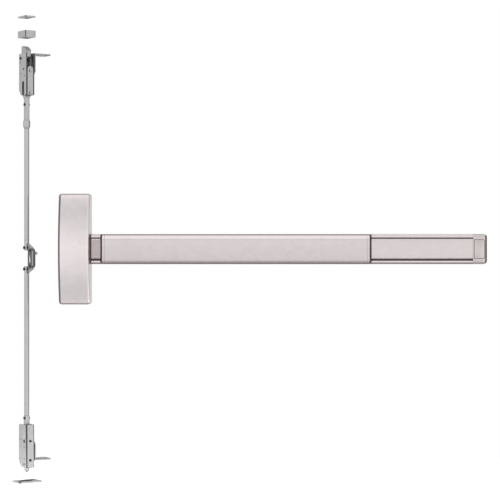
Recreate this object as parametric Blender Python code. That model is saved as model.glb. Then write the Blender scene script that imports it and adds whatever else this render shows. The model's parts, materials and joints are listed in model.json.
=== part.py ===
"""Vertical rod exit device: a touch rail with its lock case, and the concealed rod set that it works.

Metres, +Z up, +X along the rail, -Y towards the person who pushes. The origin is the
middle of the lock case's back face, on the face of the door.
"""

import math

import bmesh
import bpy
from mathutils import Matrix, Vector

# Clearances
SEAT_GAP = 0.0003
RUN_GAP = 0.0004
CASE_GAP = 0.002
BAR_GAP = 0.0036

# Lock case
CASE_WIDTH = 0.057
CASE_HEIGHT = 0.203
CASE_END_DEPTH = 0.040
CASE_MID_DEPTH = 0.062
CASE_WALL = 0.0022
CASE_CORNER = 0.004
CASE_EDGE = 0.0024
CASE_SCREW_RADIUS = 0.0019
CASE_SCREW_HEAD_RADIUS = 0.0036
CHASSIS_PLATE = 0.003
CHASSIS_FLANGE = 0.0024
CHASSIS_FLANGE_DEPTH = 0.014
TONGUE_LENGTH = 0.019
TONGUE_HALF = 0.018

# Rail
RAIL_HEIGHT = 0.055
LIP_RISE = 0.010
STUB_LENGTH = 0.0181
BAR_LENGTH = 0.486
RAIL_LENGTH = 0.1858
CAP_LENGTH = 0.0262
HOUSING_WALL = 0.0032
LIP_HEIGHT = 0.0063
LIP_THICKNESS = 0.0025
INFILL_HEIGHT = 0.036
INFILL_WALL = 0.002
INFILL_RISE = 0.005
CHANNEL_DEPTH = 0.036
CHANNEL_WALL = 0.0022
CAP_WALL = 0.0028
CAP_END_RADIUS = 0.011
CAP_CORNER = 0.0045
CAP_PANEL_WIDTH = 0.0185
CAP_PANEL_HEIGHT = 0.034
CAP_PANEL_RISE = 0.0008
CAP_BRACKET_WALL = 0.0022
CAP_BRACKET_REACH = 0.028

# Push bar
BAR_CAP_WEB = 0.007
BAR_CAP_FILLET = 0.0008
BAR_STOP_GAP = 0.001
BAR_SKIRT = 0.032
BAR_WALL = 0.0024
BAR_EDGE_RADIUS = 0.012
BAR_CAP_LENGTH = 0.0063
BAR_TRAVEL = 0.016

# Rockers, actuator link and spring
ROCKER_ARM = 0.030
LINK_ARM = 0.012
ROCKER_DEPTH = 0.032
ROCKER_HALF = 0.003
ROCKER_END_RADIUS = 0.005
ROCKER_HUB_RADIUS = 0.0055
ROCKER_PIN_RADIUS = 0.0025
PIVOT_PIN_RADIUS = 0.003
ROCKER_INSET = 0.080
SHEET = 0.002
LINK_SHEET = 0.0025
LINK_DEPTH = 0.0062
BAR_BRACKET_HALF = 0.011
PIVOT_BRACKET_HALF = 0.009
SPRING_RADIUS = 0.0035
SPRING_WIRE = 0.0005
SPRING_LENGTH = 0.046
SPRING_TURNS = 11
SPRING_DEPTH = 0.016

# Lift lever in the case
LEVER_LINK_ARM = 0.022
LEVER_LIFT_ARM = 0.022
LEVER_THICKNESS = 0.004
LEVER_HALF_WIDTH = 0.0055
LEVER_PIVOT_X = -0.006
LEVER_JOURNAL = 0.0037
FINGER_RADIUS = 0.0035
FINGER_REACH = 0.012

# Rod set: its place beside the case, and how far it is turned about the vertical
ROD_SET_X = -0.095
ROD_SET_Y = 0.022
ROD_SET_TURN_DEG = 35.3
ROD_RADIUS = 0.00475
ROD_TRAVEL = 0.010
PIN_RADIUS = 0.002
PIN_HEAD_RADIUS = 0.003
PIN_HEAD = 0.0014
TAIL_PIN_RADIUS = 0.0015
TAIL_PIN_HEAD_RADIUS = 0.0026

# Latch cases
LATCH_WIDTH = 0.017
LATCH_DEPTH = 0.029
LATCH_WALL = 0.002
LATCH_CORNER = 0.0025
TOP_CASE_BOTTOM = 0.286
TOP_CASE_HEIGHT = 0.078
BOTTOM_CASE_TOP = -0.326
BOTTOM_CASE_HEIGHT = 0.080
COVER_THICKNESS = 0.0018
COVER_HEIGHT = 0.054
BRACKET_SHEET = 0.0025
BRACKET_LENGTH = 0.0345
BRACKET_WIDTH = 0.0255
BRACKET_SHIFT = -0.002
LEG_CORNER = 0.009
FLANGE_CORNER = 0.003
TOP_BRACKET_LEG = 0.040
BOTTOM_BRACKET_LEG = 0.036
BOTTOM_BRACKET_RISE = 0.013
SCREW_RADIUS = 0.0015
SCREW_HEAD_RADIUS = 0.0026
SCREW_HEAD = 0.0013

# Holes in the latch cases' -X walls: place across, drop from the top edge, radius
TOP_WALL_HOLES = (
    (-0.004, 0.029, 0.0021), (0.0095, 0.016, 0.0015), (0.0078, 0.037, 0.0012), (-0.0065, 0.042, 0.0013),
)
BOTTOM_WALL_HOLES = (
    (0.0105, 0.0285, 0.0012), (0.0105, 0.041, 0.0012), (0.0105, 0.0635, 0.0012), (-0.006, 0.0305, 0.0026),
    (-0.006, 0.042, 0.0011), (-0.006, 0.0635, 0.0012), (-0.0055, 0.0735, 0.0021),
)

# Top latch bolt and its slide
BOLT_WIDTH = 0.0087
BOLT_SWING_DEG = 70
BOLT_NOSE_RADIUS = 0.0228
BOLT_FRONT = 0.0177
BOLT_HUB_RADIUS = 0.0039
BOLT_PIN_RADIUS = 0.0021
BOLT_PIVOT_DROP = 0.0085
SLIDE_HALF_DEPTH = 0.0038
SLIDE_STEM_HALF = 0.004
SLIDE_STEM_LENGTH = 0.046
STUD_RADIUS = 0.0022
STUD_LENGTH = 0.040
COUPLING_RADIUS = 0.0067
COUPLING_LENGTH = 0.0149

# Bottom bolt
BOTTOM_BOLT_RADIUS = 0.00485
BOTTOM_BOLT_THROW = 0.009
TAIL_HALF = 0.0043
TAIL_LENGTH = 0.021
TAIL_STUD_RADIUS = 0.0028
GUIDE_LENGTH = 0.054

# Connector between the rods
CONNECTOR_Z = -0.0172
ROD_PIN_SPAN = 0.0396
ROD_END = 0.0055
CLEVIS_DEPTH = 0.0115
FRAME_WIDTH = 0.0066
FRAME_WALL = 0.0009
FRAME_DEPTH = 0.0187
FRAME_MARGIN = 0.0037
FRAME_WINDOW_HALF = 0.0022
FRAME_WINDOW_INSET = 0.0088
FRAME_TRIM = 0.0055
CRANK_REACH = 0.018
CRANK_HUB = 0.0041
CRANK_CREST = 0.0095
CRANK_LINK_ARM = 0.005
CRANK_LINK_SHEET = 0.0012
CRANK_LINK_HALF = 0.0017
LINK_STUD_RADIUS = 0.0013
LINK_STUD_PLAY = 0.00045
LIFT_STUD_RADIUS = 0.0016
LIFT_STUD_HEAD = 0.0029
LIFT_STUD_REACH = 0.0062
LIFT_STUD_ARM = 0.0072
LIFT_STUD_DEG = 215

# Strikes
STRIKE_WIDTH = 0.0215
STRIKE_DEPTH = 0.031
STRIKE_SHEET = 0.0025
STRIKE_GAP = 0.0248
STRIKE_BOX_GAP = 0.0295
STRIKE_BOX_HEIGHT = 0.0125
STRIKE_BOX_WALL = 0.0014
STRIKE_WINDOW_WIDTH = 0.0135
STRIKE_WINDOW_DEPTH = 0.0135
STRIKE_HOLE_RADIUS = 0.0021
STRIKE_HOLE_SPACING = 0.0092
FLOOR_STRIKE_WIDTH = 0.047
FLOOR_STRIKE_DEPTH = 0.033
FLOOR_STRIKE_GAP = 0.025
FLOOR_HOLE_RADIUS = 0.0077
FLOOR_RIM_RADIUS = 0.0109

# Worked out from the sizes above
case_half_w = CASE_WIDTH / 2
case_half_h = CASE_HEIGHT / 2
channel_start = case_half_w + SEAT_GAP
stub_start = case_half_w + CASE_GAP
stub_end = stub_start + STUB_LENGTH
bar_start = stub_end + BAR_GAP
bar_end = bar_start + BAR_LENGTH
rail_start = bar_end + BAR_GAP
rail_end = rail_start + RAIL_LENGTH
cap_start = rail_end + SEAT_GAP
cap_end = cap_start + CAP_LENGTH
rail_half = RAIL_HEIGHT / 2
track_half = rail_half - HOUSING_WALL
rail_depth = CHANNEL_DEPTH + LIP_RISE
channel_half = track_half - SEAT_GAP
channel_inner = channel_half - CHANNEL_WALL
channel_floor = -CHANNEL_WALL
bar_projection = CHANNEL_DEPTH + BAR_TRAVEL + BAR_STOP_GAP + BAR_CAP_WEB
bar_half_swing = math.asin(BAR_TRAVEL / 2 / ROCKER_ARM)
link_travel = 2 * LINK_ARM * math.sin(bar_half_swing)
lever_half_swing = math.asin(link_travel / 2 / LEVER_LINK_ARM)
left_rocker_x = bar_start + ROCKER_INSET
right_rocker_x = bar_end - ROCKER_INSET - ROCKER_ARM
link_ear_outer = ROCKER_HALF + RUN_GAP + SHEET
pin_half = link_ear_outer + 0.0005
pivot_ear_inner = pin_half + 0.0011
pivot_ear_outer = pivot_ear_inner + SHEET
spring_tab_x = right_rocker_x + ROCKER_ARM + BAR_BRACKET_HALF + link_travel + LINK_SHEET
lever_front = -LINK_DEPTH - LINK_SHEET - LEVER_THICKNESS - 0.0005
crank_half_swing = math.atan(ROD_TRAVEL / 2 / CRANK_REACH)
latch_half_w = LATCH_WIDTH / 2
latch_half_d = LATCH_DEPTH / 2
latch_inner_w = latch_half_w - LATCH_WALL
top_case_top = TOP_CASE_BOTTOM + TOP_CASE_HEIGHT
bottom_case_bottom = BOTTOM_CASE_TOP - BOTTOM_CASE_HEIGHT
strike_box_low = top_case_top + STRIKE_BOX_GAP
strike_box_high = strike_box_low + STRIKE_BOX_HEIGHT
strike_low = strike_box_high + STRIKE_GAP
floor_strike_high = bottom_case_bottom - FLOOR_STRIKE_GAP
bolt_pivot_y = latch_half_d - LATCH_WALL - SEAT_GAP - BOLT_HUB_RADIUS
bolt_pivot_z = top_case_top - BOLT_PIVOT_DROP
drive_rise = ROD_TRAVEL / 2
drive_reach = drive_rise / math.tan(math.radians(BOLT_SWING_DEG / 2))
top_pin_z = CONNECTOR_Z + ROD_PIN_SPAN / 2
bottom_pin_z = CONNECTOR_Z - ROD_PIN_SPAN / 2
crank_pivot_y = -CRANK_REACH
frame_inner = FRAME_WIDTH / 2 - FRAME_WALL
crank_link_low = -frame_inner + SEAT_GAP
crank_low = crank_link_low + CRANK_LINK_SHEET + SEAT_GAP
crank_high = frame_inner - SEAT_GAP
upper_pivot_z = top_pin_z - ROD_TRAVEL / 2
lower_pivot_z = bottom_pin_z + ROD_TRAVEL / 2
frame_back = -ROD_RADIUS - 0.0053
frame_height = upper_pivot_z - lower_pivot_z + 2 * FRAME_MARGIN


def clear_scene():
    for obj in list(bpy.data.objects):
        bpy.data.objects.remove(obj, do_unlink=True)


def material(name, colour, roughness, metallic):
    made = bpy.data.materials.get(name) or bpy.data.materials.new(name)
    made.use_nodes = True
    shader = made.node_tree.nodes["Principled BSDF"]
    shader.inputs["Base Color"].default_value = (*colour, 1)
    shader.inputs["Roughness"].default_value = roughness
    shader.inputs["Metallic"].default_value = metallic
    return made


SATIN = ("satin_steel", (0.72, 0.69, 0.69), 0.36, 1.0)
BAR_FINISH = ("satin_bar", (0.76, 0.74, 0.74), 0.34, 1.0)
INFILL = ("satin_infill", (0.60, 0.55, 0.55), 0.42, 1.0)
ZINC = ("zinc_plate", (0.60, 0.60, 0.60), 0.42, 1.0)
ROD_STEEL = ("rod_steel", (0.66, 0.66, 0.66), 0.32, 1.0)
DARK_PIN = ("dark_pin", (0.06, 0.06, 0.06), 0.45, 1.0)
MALLEABLE = ("cast_steel", (0.42, 0.42, 0.42), 0.55, 1.0)
SPRING_STEEL = ("spring_steel", (0.30, 0.30, 0.31), 0.35, 1.0)


def circle(cx, cy, radius, count=14):
    turns = [2 * math.pi * i / count for i in range(count)]
    return [(cx + radius * math.cos(t), cy + radius * math.sin(t)) for t in turns]


def rectangle(x0, x1, y0, y1):
    return [(x0, y0), (x1, y0), (x1, y1), (x0, y1)]


def rounded(corners, steps=4):
    """An outline from (x, y, radius) corners, each filleted by an arc of its radius."""
    outline = []
    count = len(corners)
    for i, (x, y, radius) in enumerate(corners):
        here = Vector((x, y))
        before = (Vector(corners[i - 1][:2]) - here).normalized()
        after = (Vector(corners[(i + 1) % count][:2]) - here).normalized()
        if radius <= 0:
            outline.append((x, y))
            continue
        half = before.angle(after) / 2
        setback = radius / math.tan(half)
        middle = here + (before + after).normalized() * (radius / math.sin(half))
        start = here + before * setback - middle
        end = here + after * setback - middle
        sweep = start.angle_signed(end)
        for step in range(steps + 1):
            spoke = start.copy()
            spoke.rotate(Matrix.Rotation(-sweep * step / steps, 2))
            outline.append(tuple(middle + spoke))
    return outline


def rounded_rectangle(x0, x1, y0, y1, radius, steps=4):
    return rounded([(x, y, radius) for x, y in rectangle(x0, x1, y0, y1)], steps)


def slot(cx, cy, half_length, radius, angle=0.0, count=7):
    """A round-ended slot's outline; half_length is from its middle to the centre of an end."""
    outline = []
    for end in (0, 1):
        for i in range(count):
            turn = math.pi * (end - 0.5 + i / (count - 1))
            reach = half_length * (1 - 2 * end)
            outline.append((reach + radius * math.cos(turn), radius * math.sin(turn)))
    cos, sin = math.cos(angle), math.sin(angle)
    return [(cx + x * cos - y * sin, cy + x * sin + y * cos) for x, y in outline]


PLACES = {
    "X": lambda along, a, b: (along, a, b),
    "Y": lambda along, a, b: (a, along, b),
    "Z": lambda along, a, b: (a, b, along),
}


def prism(bm, outline, axis, start, end):
    """Adds a closed outline extruded along an axis: (y, z), (x, z) or (x, y) points for X, Y, Z."""
    place = PLACES[axis]
    face = bm.faces.new([bm.verts.new(place(start, a, b)) for a, b in outline])
    pushed = bmesh.ops.extrude_face_region(bm, geom=[face])["geom"]
    moved = [v for v in pushed if isinstance(v, bmesh.types.BMVert)]
    bmesh.ops.translate(bm, verts=moved, vec=place(end - start, 0, 0))
    bmesh.ops.recalc_face_normals(bm, faces=bm.faces)


def turned(bm, stations, axis, a=0.0, b=0.0, count=14):
    """Adds a turned solid: (place along the axis, radius) stations, centred on (a, b)."""
    place = PLACES[axis]
    points = [(stations[0][0], 0)] + list(stations) + [(stations[-1][0], 0)]
    made = [bm.verts.new(place(s, a + r, b)) for s, r in points]
    edges = [bm.edges.new(pair) for pair in zip(made, made[1:])]
    bmesh.ops.spin(
        bm,
        geom=made + edges,
        cent=place(0, a, b),
        axis=place(1, 0, 0),
        angle=2 * math.pi,
        steps=count,
        use_merge=True,
    )
    bmesh.ops.remove_doubles(bm, verts=bm.verts, dist=1e-6)
    bmesh.ops.recalc_face_normals(bm, faces=bm.faces)


def solid(*shapes):
    """A new bmesh holding the given (function, arguments...) shapes, which lie apart."""
    bm = bmesh.new()
    for function, *arguments in shapes:
        part = bmesh.new()
        function(part, *arguments)
        mesh = bpy.data.meshes.new("shape")
        part.to_mesh(mesh)
        part.free()
        bm.from_mesh(mesh)
        bpy.data.meshes.remove(mesh)
    return bm


def add(name, bm, finish, origin=(0, 0, 0), parent=None):
    """Makes the bmesh an object whose origin is put at the given point."""
    bmesh.ops.translate(bm, verts=bm.verts, vec=-Vector(origin))
    mesh = bpy.data.meshes.new(name)
    bm.to_mesh(mesh)
    bm.free()
    obj = bpy.data.objects.new(name, mesh)
    obj.location = origin
    obj.parent = parent
    bpy.context.scene.collection.objects.link(obj)
    if finish:
        mesh.materials.append(material(*finish))
        mesh.shade_smooth()
        mesh.set_sharp_from_angle(angle=math.radians(30))
    return obj


def combine(obj, operation, *shapes):
    """Cuts, joins or intersects the object with shapes given in its parent's frame."""
    count = len(obj.modifiers)
    tool = add(f"{obj.name}_tool_{count}", solid(*shapes), None, obj.location, obj.parent)
    tool.rotation_euler = obj.rotation_euler
    tool.hide_render = True
    tool.display_type = "WIRE"
    modifier = obj.modifiers.new(f"{operation.lower()}_{count}", "BOOLEAN")
    modifier.operation = operation
    modifier.object = tool
    return obj


def cut(obj, *shapes):
    return combine(obj, "DIFFERENCE", *shapes)


def join(obj, *shapes):
    return combine(obj, "UNION", *shapes)


def bevel_edges(bm, offset, segments, chosen):
    """Rounds the edges whose two end points the chosen test accepts."""
    edges = [edge for edge in bm.edges if chosen(edge.verts[0].co, edge.verts[1].co)]
    bmesh.ops.bevel(
        bm, geom=edges, offset=offset, segments=segments, profile=0.5, affect="EDGES"
    )


def bowed_profile(half_height, end_depth, mid_depth, back, steps=14):
    """The case's side outline in (y, z): an arc between its two ends, bowed towards -Y."""
    rise = mid_depth - end_depth
    radius = (half_height**2 + rise**2) / (2 * rise)
    reach = math.asin(half_height / radius)
    outline = [(back, half_height), (back, -half_height)]
    for i in range(steps + 1):
        turn = reach * (2 * i / steps - 1)
        y = -(mid_depth - radius + radius * math.cos(turn))
        outline.append((y, radius * math.sin(turn)))
    return outline


def countersunk(face, direction, shank_end, grow=0.0):
    """Stations of a countersunk screw whose flat head lies in a face at the given place."""
    radius, head_radius = CASE_SCREW_RADIUS, CASE_SCREW_HEAD_RADIUS
    head = head_radius - radius
    return [
        (face + direction * grow, head_radius + grow),
        (face - direction * head, radius + grow),
        (shank_end, radius + grow),
    ]


def case_cover():
    bm = bmesh.new()
    outline = bowed_profile(case_half_h, CASE_END_DEPTH, CASE_MID_DEPTH, 0)
    prism(bm, outline, "X", -case_half_w, case_half_w)
    corners = [
        e
        for e in bm.edges
        if all(abs(abs(v.co.z) - case_half_h) < 1e-6 for v in e.verts)
        and abs(e.verts[0].co.y - e.verts[1].co.y) > 1e-4
    ]
    bmesh.ops.bevel(
        bm, geom=corners, offset=CASE_CORNER, segments=4, profile=0.5, affect="EDGES"
    )
    front = set()
    for face in bm.faces:
        if face.normal.y < -0.7:
            front.update(face.edges)
    rim = [e for e in front if sum(f.normal.y < -0.7 for f in e.link_faces) == 1]
    bmesh.ops.bevel(bm, geom=rim, offset=CASE_EDGE, segments=3, profile=0.5, affect="EDGES")
    cover = add("case_cover", bm, SATIN)
    hollow = bowed_profile(
        case_half_h - CASE_WALL,
        CASE_END_DEPTH - CASE_WALL,
        CASE_MID_DEPTH - CASE_WALL,
        0.004,
    )
    inner_w = case_half_w - CASE_WALL
    cut(cover, (prism, hollow, "X", -inner_w, inner_w))
    window_half = TONGUE_HALF + 0.002
    window = rectangle(-LINK_DEPTH - LINK_SHEET - 0.003, 0.001, -window_half, window_half)
    cut(cover, (prism, window, "X", inner_w - 0.001, case_half_w + 0.001))
    for end in (1, -1):
        stations = countersunk(end * case_half_h, end, end * (case_half_h - 0.006), SEAT_GAP)
        cut(cover, (turned, stations, "Z", 0, cover_screw_y()))
    return cover


def cover_screw_y():
    return -(CHASSIS_PLATE + CHASSIS_FLANGE_DEPTH) / 2


def case_chassis():
    half_w = case_half_w - CASE_WALL - SEAT_GAP
    half_h = case_half_h - CASE_WALL - SEAT_GAP
    bm = bmesh.new()
    prism(bm, rectangle(-half_w, half_w, -half_h, half_h), "Y", -CHASSIS_PLATE, 0)
    chassis = add("case_chassis", bm, ZINC)
    flange = 0.010
    for end in (1, -1):
        span = sorted((end * half_h, end * (half_h - CHASSIS_FLANGE)))
        shape = rectangle(-flange, flange, -CHASSIS_FLANGE_DEPTH, -CHASSIS_PLATE / 2)
        join(chassis, (prism, shape, "Z", *span))
    seat = channel_floor - SEAT_GAP
    tongue = [
        (half_w - 0.006, -0.0005),
        (half_w - 0.0008, -0.0005),
        (case_half_w, seat),
        (channel_start + TONGUE_LENGTH, seat),
        (channel_start + TONGUE_LENGTH, seat - CHASSIS_PLATE),
        (half_w - 0.001, seat - CHASSIS_PLATE),
        (half_w - 0.006, -CHASSIS_PLATE - 0.0002),
    ]
    join(chassis, (prism, tongue, "Z", -TONGUE_HALF, TONGUE_HALF))
    half_slot = lever_lift() / 2
    places = [(x, z) for x in (-0.017, 0.017) for z in (-0.078, 0.078)]
    holes = [(prism, circle(x, z, 0.003), "Y", -0.004, 0.001) for x, z in places]
    finger = slot(
        LEVER_PIVOT_X + LEVER_LIFT_ARM, lever_pivot_z(), half_slot, FINGER_RADIUS + 0.0008, math.pi / 2
    )
    pivot = circle(LEVER_PIVOT_X, lever_pivot_z(), LEVER_JOURNAL - 0.0009 + SEAT_GAP)
    cut(chassis, (prism, finger, "Y", -0.004, 0.001), (prism, pivot, "Y", -0.004, 0.001), *holes)
    screw_y = cover_screw_y()
    hole = circle(0, screw_y, CASE_SCREW_RADIUS + SEAT_GAP)
    for end in (1, -1):
        span = sorted((end * (half_h + 0.001), end * (half_h - CHASSIS_FLANGE - 0.001)))
        cut(chassis, (prism, hole, "Z", *span))
    return chassis


def cover_screws():
    for name, end in (("cover_screw_top", 1), ("cover_screw_bottom", -1)):
        stations = countersunk(end * case_half_h, end, end * (case_half_h - 0.010))
        add(name, solid((turned, stations, "Z", 0, cover_screw_y())), ZINC)


def lever_pivot_z():
    return -LEVER_LINK_ARM


def lever_lift():
    return 2 * LEVER_LIFT_ARM * math.sin(lever_half_swing)


def lift_lever():
    """A bell crank on the chassis: the link pulls its upright arm, and its finger lifts."""
    width = LEVER_HALF_WIDTH
    px, pz = LEVER_PIVOT_X, lever_pivot_z()
    corners = [
        (px - width, pz - width, width - 0.0005),
        (px + LEVER_LIFT_ARM + width, pz - width, width - 0.0005),
        (px + LEVER_LIFT_ARM + width, pz + width, width - 0.0005),
        (px + width, pz + width, 0.003),
        (px + width, pz + LEVER_LINK_ARM + width, width - 0.0005),
        (px - width, pz + LEVER_LINK_ARM + width, width - 0.0005),
    ]
    pivot = (px, 0, pz)
    bm = solid((prism, rounded(corners), "Y", lever_front, lever_front + LEVER_THICKNESS))
    lever = add("lift_lever", bm, MALLEABLE, pivot)
    lever.rotation_euler.y = lever_half_swing
    finger = [
        (lever_front + 0.001, FINGER_RADIUS), (FINGER_REACH - 0.001, FINGER_RADIUS),
        (FINGER_REACH, FINGER_RADIUS - 0.001),
    ]
    stud = circle(px, pz + LEVER_LINK_ARM, ROCKER_PIN_RADIUS)
    join(lever, (turned, finger, "Y", px + LEVER_LIFT_ARM, pz))
    join(lever, (prism, stud, "Y", lever_front + 0.001, -LINK_DEPTH + 0.0005))
    bore = circle(px, pz, LEVER_JOURNAL + SEAT_GAP)
    cut(lever, (prism, bore, "Y", lever_front - 0.001, lever_front + LEVER_THICKNESS + 0.001))
    return lever


def lever_pivot_pin():
    spigot = LEVER_JOURNAL - 0.0009
    collar = LEVER_JOURNAL + 0.0022
    back = lever_front + LEVER_THICKNESS + SEAT_GAP
    stations = [
        (-SEAT_GAP, spigot),
        (-CHASSIS_PLATE - SEAT_GAP, spigot),
        (-CHASSIS_PLATE - SEAT_GAP, collar),
        (back, collar),
        (back, LEVER_JOURNAL),
        (lever_front - SEAT_GAP, LEVER_JOURNAL),
        (lever_front - SEAT_GAP, collar),
        (lever_front - 0.002, collar),
    ]
    add("lever_pivot_pin", solid((turned, stations, "Y", LEVER_PIVOT_X, lever_pivot_z())), ROD_STEEL)


def rail_base_channel():
    half, inner = channel_half, channel_inner
    outline = [
        (0, half), (-CHANNEL_DEPTH, half), (-CHANNEL_DEPTH, inner), (channel_floor, inner),
        (channel_floor, -inner), (-CHANNEL_DEPTH, -inner), (-CHANNEL_DEPTH, -half), (0, -half),
    ]
    channel = add("rail_base_channel", solid((prism, outline, "X", channel_start, rail_end)), ZINC)
    middle = (rail_start + rail_end) / 2
    holes = [(prism, circle(x, 0, 0.0032), "Y", -0.004, 0.001) for x in (middle - 0.050, middle + 0.050)]
    cut(channel, *holes)
    return channel


def lipped_housing(name, start, end):
    """An aluminium extrusion over the base channel, with a front track between two lips."""
    top, track, lip = rail_half, track_half, rail_half - LIP_HEIGHT
    front, behind = -rail_depth, -rail_depth + LIP_THICKNESS
    web = -CHANNEL_DEPTH - SEAT_GAP
    web_front = web - INFILL_WALL
    upper = [
        (0, track, 0), (0, top, 0.001), (front, top, 0.0022), (front, lip, 0.0008),
        (behind, lip, 0), (behind, track, 0), (web_front, track, 0),
    ]
    lower = [(y, -z, r) for y, z, r in reversed(upper)]
    corners = upper + lower + [(web, -track, 0), (web, track, 0)]
    return add(name, solid((prism, rounded(corners, 3), "X", start, end)), SATIN)


def infill_plate(name, start, end):
    """The strip that closes the track: a raised middle on two brims behind the lips."""
    brim_back = -CHANNEL_DEPTH - 2 * SEAT_GAP - INFILL_WALL
    brim_front = brim_back - INFILL_WALL
    face = brim_front - INFILL_RISE
    brim, middle = track_half - SEAT_GAP, INFILL_HEIGHT / 2
    inner = middle - INFILL_WALL
    upper = [
        (brim_back, inner, 0), (brim_back, brim, 0), (brim_front, brim, 0),
        (brim_front, middle, 0), (face, middle, 0.0011),
    ]
    lower = [(y, -z, r) for y, z, r in reversed(upper)]
    corners = upper + lower + [(face + INFILL_WALL, -inner, 0), (face + INFILL_WALL, inner, 0)]
    return add(name, solid((prism, rounded(corners, 3), "X", start, end)), INFILL)


def end_cap():
    front = -rail_depth
    outline = rounded(
        [(cap_start, 0, 0), (cap_start, front, 0.001), (cap_end, front, CAP_END_RADIUS), (cap_end, 0, 0)], 6
    )
    bm = bmesh.new()
    prism(bm, outline, "Z", -rail_half, rail_half)
    bevel_edges(bm, CAP_CORNER, 4, lambda a, b: min(a.x, b.x) > cap_end - 1e-6 and abs(a.y - b.y) > 0.01)
    cap = add("end_cap", bm, SATIN)
    inner_end = cap_end - CAP_WALL
    hollow = rounded(
        [(cap_start - 0.001, 0.001, 0), (cap_start - 0.001, front + CAP_WALL, 0),
         (inner_end, front + CAP_WALL, CAP_END_RADIUS - CAP_WALL), (inner_end, 0.001, 0)], 6
    )
    inner_half = rail_half - CAP_WALL
    cut(cap, (prism, hollow, "Z", -inner_half, inner_half))
    x0 = cap_start + 0.0025
    panel = rounded_rectangle(x0, x0 + CAP_PANEL_WIDTH, -CAP_PANEL_HEIGHT / 2, CAP_PANEL_HEIGHT / 2, 0.002)
    flat_end = cap_end - CAP_END_RADIUS * 0.35
    panel = [(min(x, flat_end), z) for x, z in panel]
    join(cap, (prism, panel, "Y", front - CAP_PANEL_RISE, front + CAP_WALL / 2))
    for end in (1, -1):
        stations = countersunk(end * rail_half, end, end * (rail_half - 0.006), SEAT_GAP)
        cut(cap, (turned, stations, "Z", *cap_screw_place()))
    return cap


def cap_screw_place():
    return (cap_start + CAP_LENGTH * 0.42, -0.018)


def end_cap_bracket():
    """A folded bracket on the end of the base channel that the end cap is screwed to."""
    outer = channel_inner - SEAT_GAP
    inner = outer - CAP_BRACKET_WALL
    back = channel_floor - SEAT_GAP
    reach = cap_end - CAP_WALL - 0.002
    web = rectangle(cap_start - CAP_BRACKET_REACH, reach, -outer, outer)
    bracket = add("end_cap_bracket", solid((prism, web, "Y", back - CAP_BRACKET_WALL, back)), ZINC)
    flange = rectangle(cap_start + 0.001, reach, back - CAP_BRACKET_REACH, back - CAP_BRACKET_WALL / 2)
    x, y = cap_screw_place()
    for end in (1, -1):
        join(bracket, (prism, flange, "Z", *sorted((end * inner, end * outer))))
    for end in (1, -1):
        span = sorted((end * (inner - 0.001), end * (outer + 0.001)))
        cut(bracket, (prism, circle(x, y, CASE_SCREW_RADIUS + SEAT_GAP), "Z", *span))
    return bracket


def end_cap_screws():
    x, y = cap_screw_place()
    for name, end in (("end_cap_screw_top", 1), ("end_cap_screw_bottom", -1)):
        stations = countersunk(end * rail_half, end, end * (rail_half - 0.011))
        add(name, solid((turned, stations, "Z", x, y)), ZINC)


def bar_outline(web, fillet):
    """The bar's section: a U over the channel, with its web's thickness and its inner fillet."""
    front, back = -bar_projection, -bar_projection + BAR_SKIRT
    half, inner = rail_half, rail_half - BAR_WALL
    edge = BAR_EDGE_RADIUS
    outer = [(back, half, 0), (front, half, edge), (front, -half, edge), (back, -half, 0)]
    floor = front + web
    hollow = [(back, -inner, 0), (floor, -inner, fillet), (floor, inner, fillet), (back, inner, 0)]
    return rounded(outer + hollow, 6)


def push_bar():
    start, end = bar_start + BAR_CAP_LENGTH + SEAT_GAP, bar_end - BAR_CAP_LENGTH - SEAT_GAP
    outline = bar_outline(BAR_WALL, BAR_EDGE_RADIUS - BAR_WALL)
    return add("push_bar", solid((prism, outline, "X", start, end)), BAR_FINISH)


def push_bar_end_caps():
    """End pieces of the bar's section; their web stays ahead of the channel at full travel."""
    outline = bar_outline(BAR_CAP_WEB, BAR_CAP_FILLET)
    for side, start in (("left", bar_start), ("right", bar_end - BAR_CAP_LENGTH)):
        shape = (prism, outline, "X", start, start + BAR_CAP_LENGTH)
        add(f"bar_end_cap_{side}", solid(shape), BAR_FINISH)


def rocker_point(pivot_x, along, across):
    """Where a point of a rocker lies at rest, in (x, y)."""
    cos, sin = math.cos(-bar_half_swing), math.sin(-bar_half_swing)
    return pivot_x + along * cos - across * sin, -ROCKER_DEPTH + along * sin + across * cos


def rocker(name, pivot_x):
    """A bell crank: the bar presses its long arm in, and its short arm draws the link."""
    r = ROCKER_END_RADIUS
    y0 = -ROCKER_DEPTH
    corners = [
        (pivot_x - r - 0.001, y0 - r - 0.001, r),
        (pivot_x + ROCKER_ARM + r, y0 - r, r - 0.0003),
        (pivot_x + ROCKER_ARM + r, y0 + r, r - 0.0003),
        (pivot_x + r, y0 + r, 0.0025),
        (pivot_x + r, y0 + LINK_ARM + r, r - 0.0003),
        (pivot_x - r, y0 + LINK_ARM + r, r - 0.0003),
    ]
    bm = solid((prism, rounded(corners), "Z", -ROCKER_HALF, ROCKER_HALF))
    arm = add(name, bm, MALLEABLE, (pivot_x, y0, 0))
    arm.rotation_euler.z = -bar_half_swing
    hub = circle(pivot_x, y0, ROCKER_HUB_RADIUS)
    bar_pin = circle(pivot_x + ROCKER_ARM, y0, ROCKER_PIN_RADIUS, 12)
    link_pin = circle(pivot_x, y0 + LINK_ARM, ROCKER_PIN_RADIUS, 12)
    hub_half = pivot_ear_inner - RUN_GAP
    join(arm, (prism, hub, "Z", -hub_half, hub_half))
    join(arm, (prism, bar_pin, "Z", -pin_half, pin_half), (prism, link_pin, "Z", -pin_half, pin_half))
    bore = circle(pivot_x, y0, PIVOT_PIN_RADIUS + SEAT_GAP)
    cut(arm, (prism, bore, "Z", -hub_half - 0.001, hub_half + 0.001))
    return arm


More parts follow.
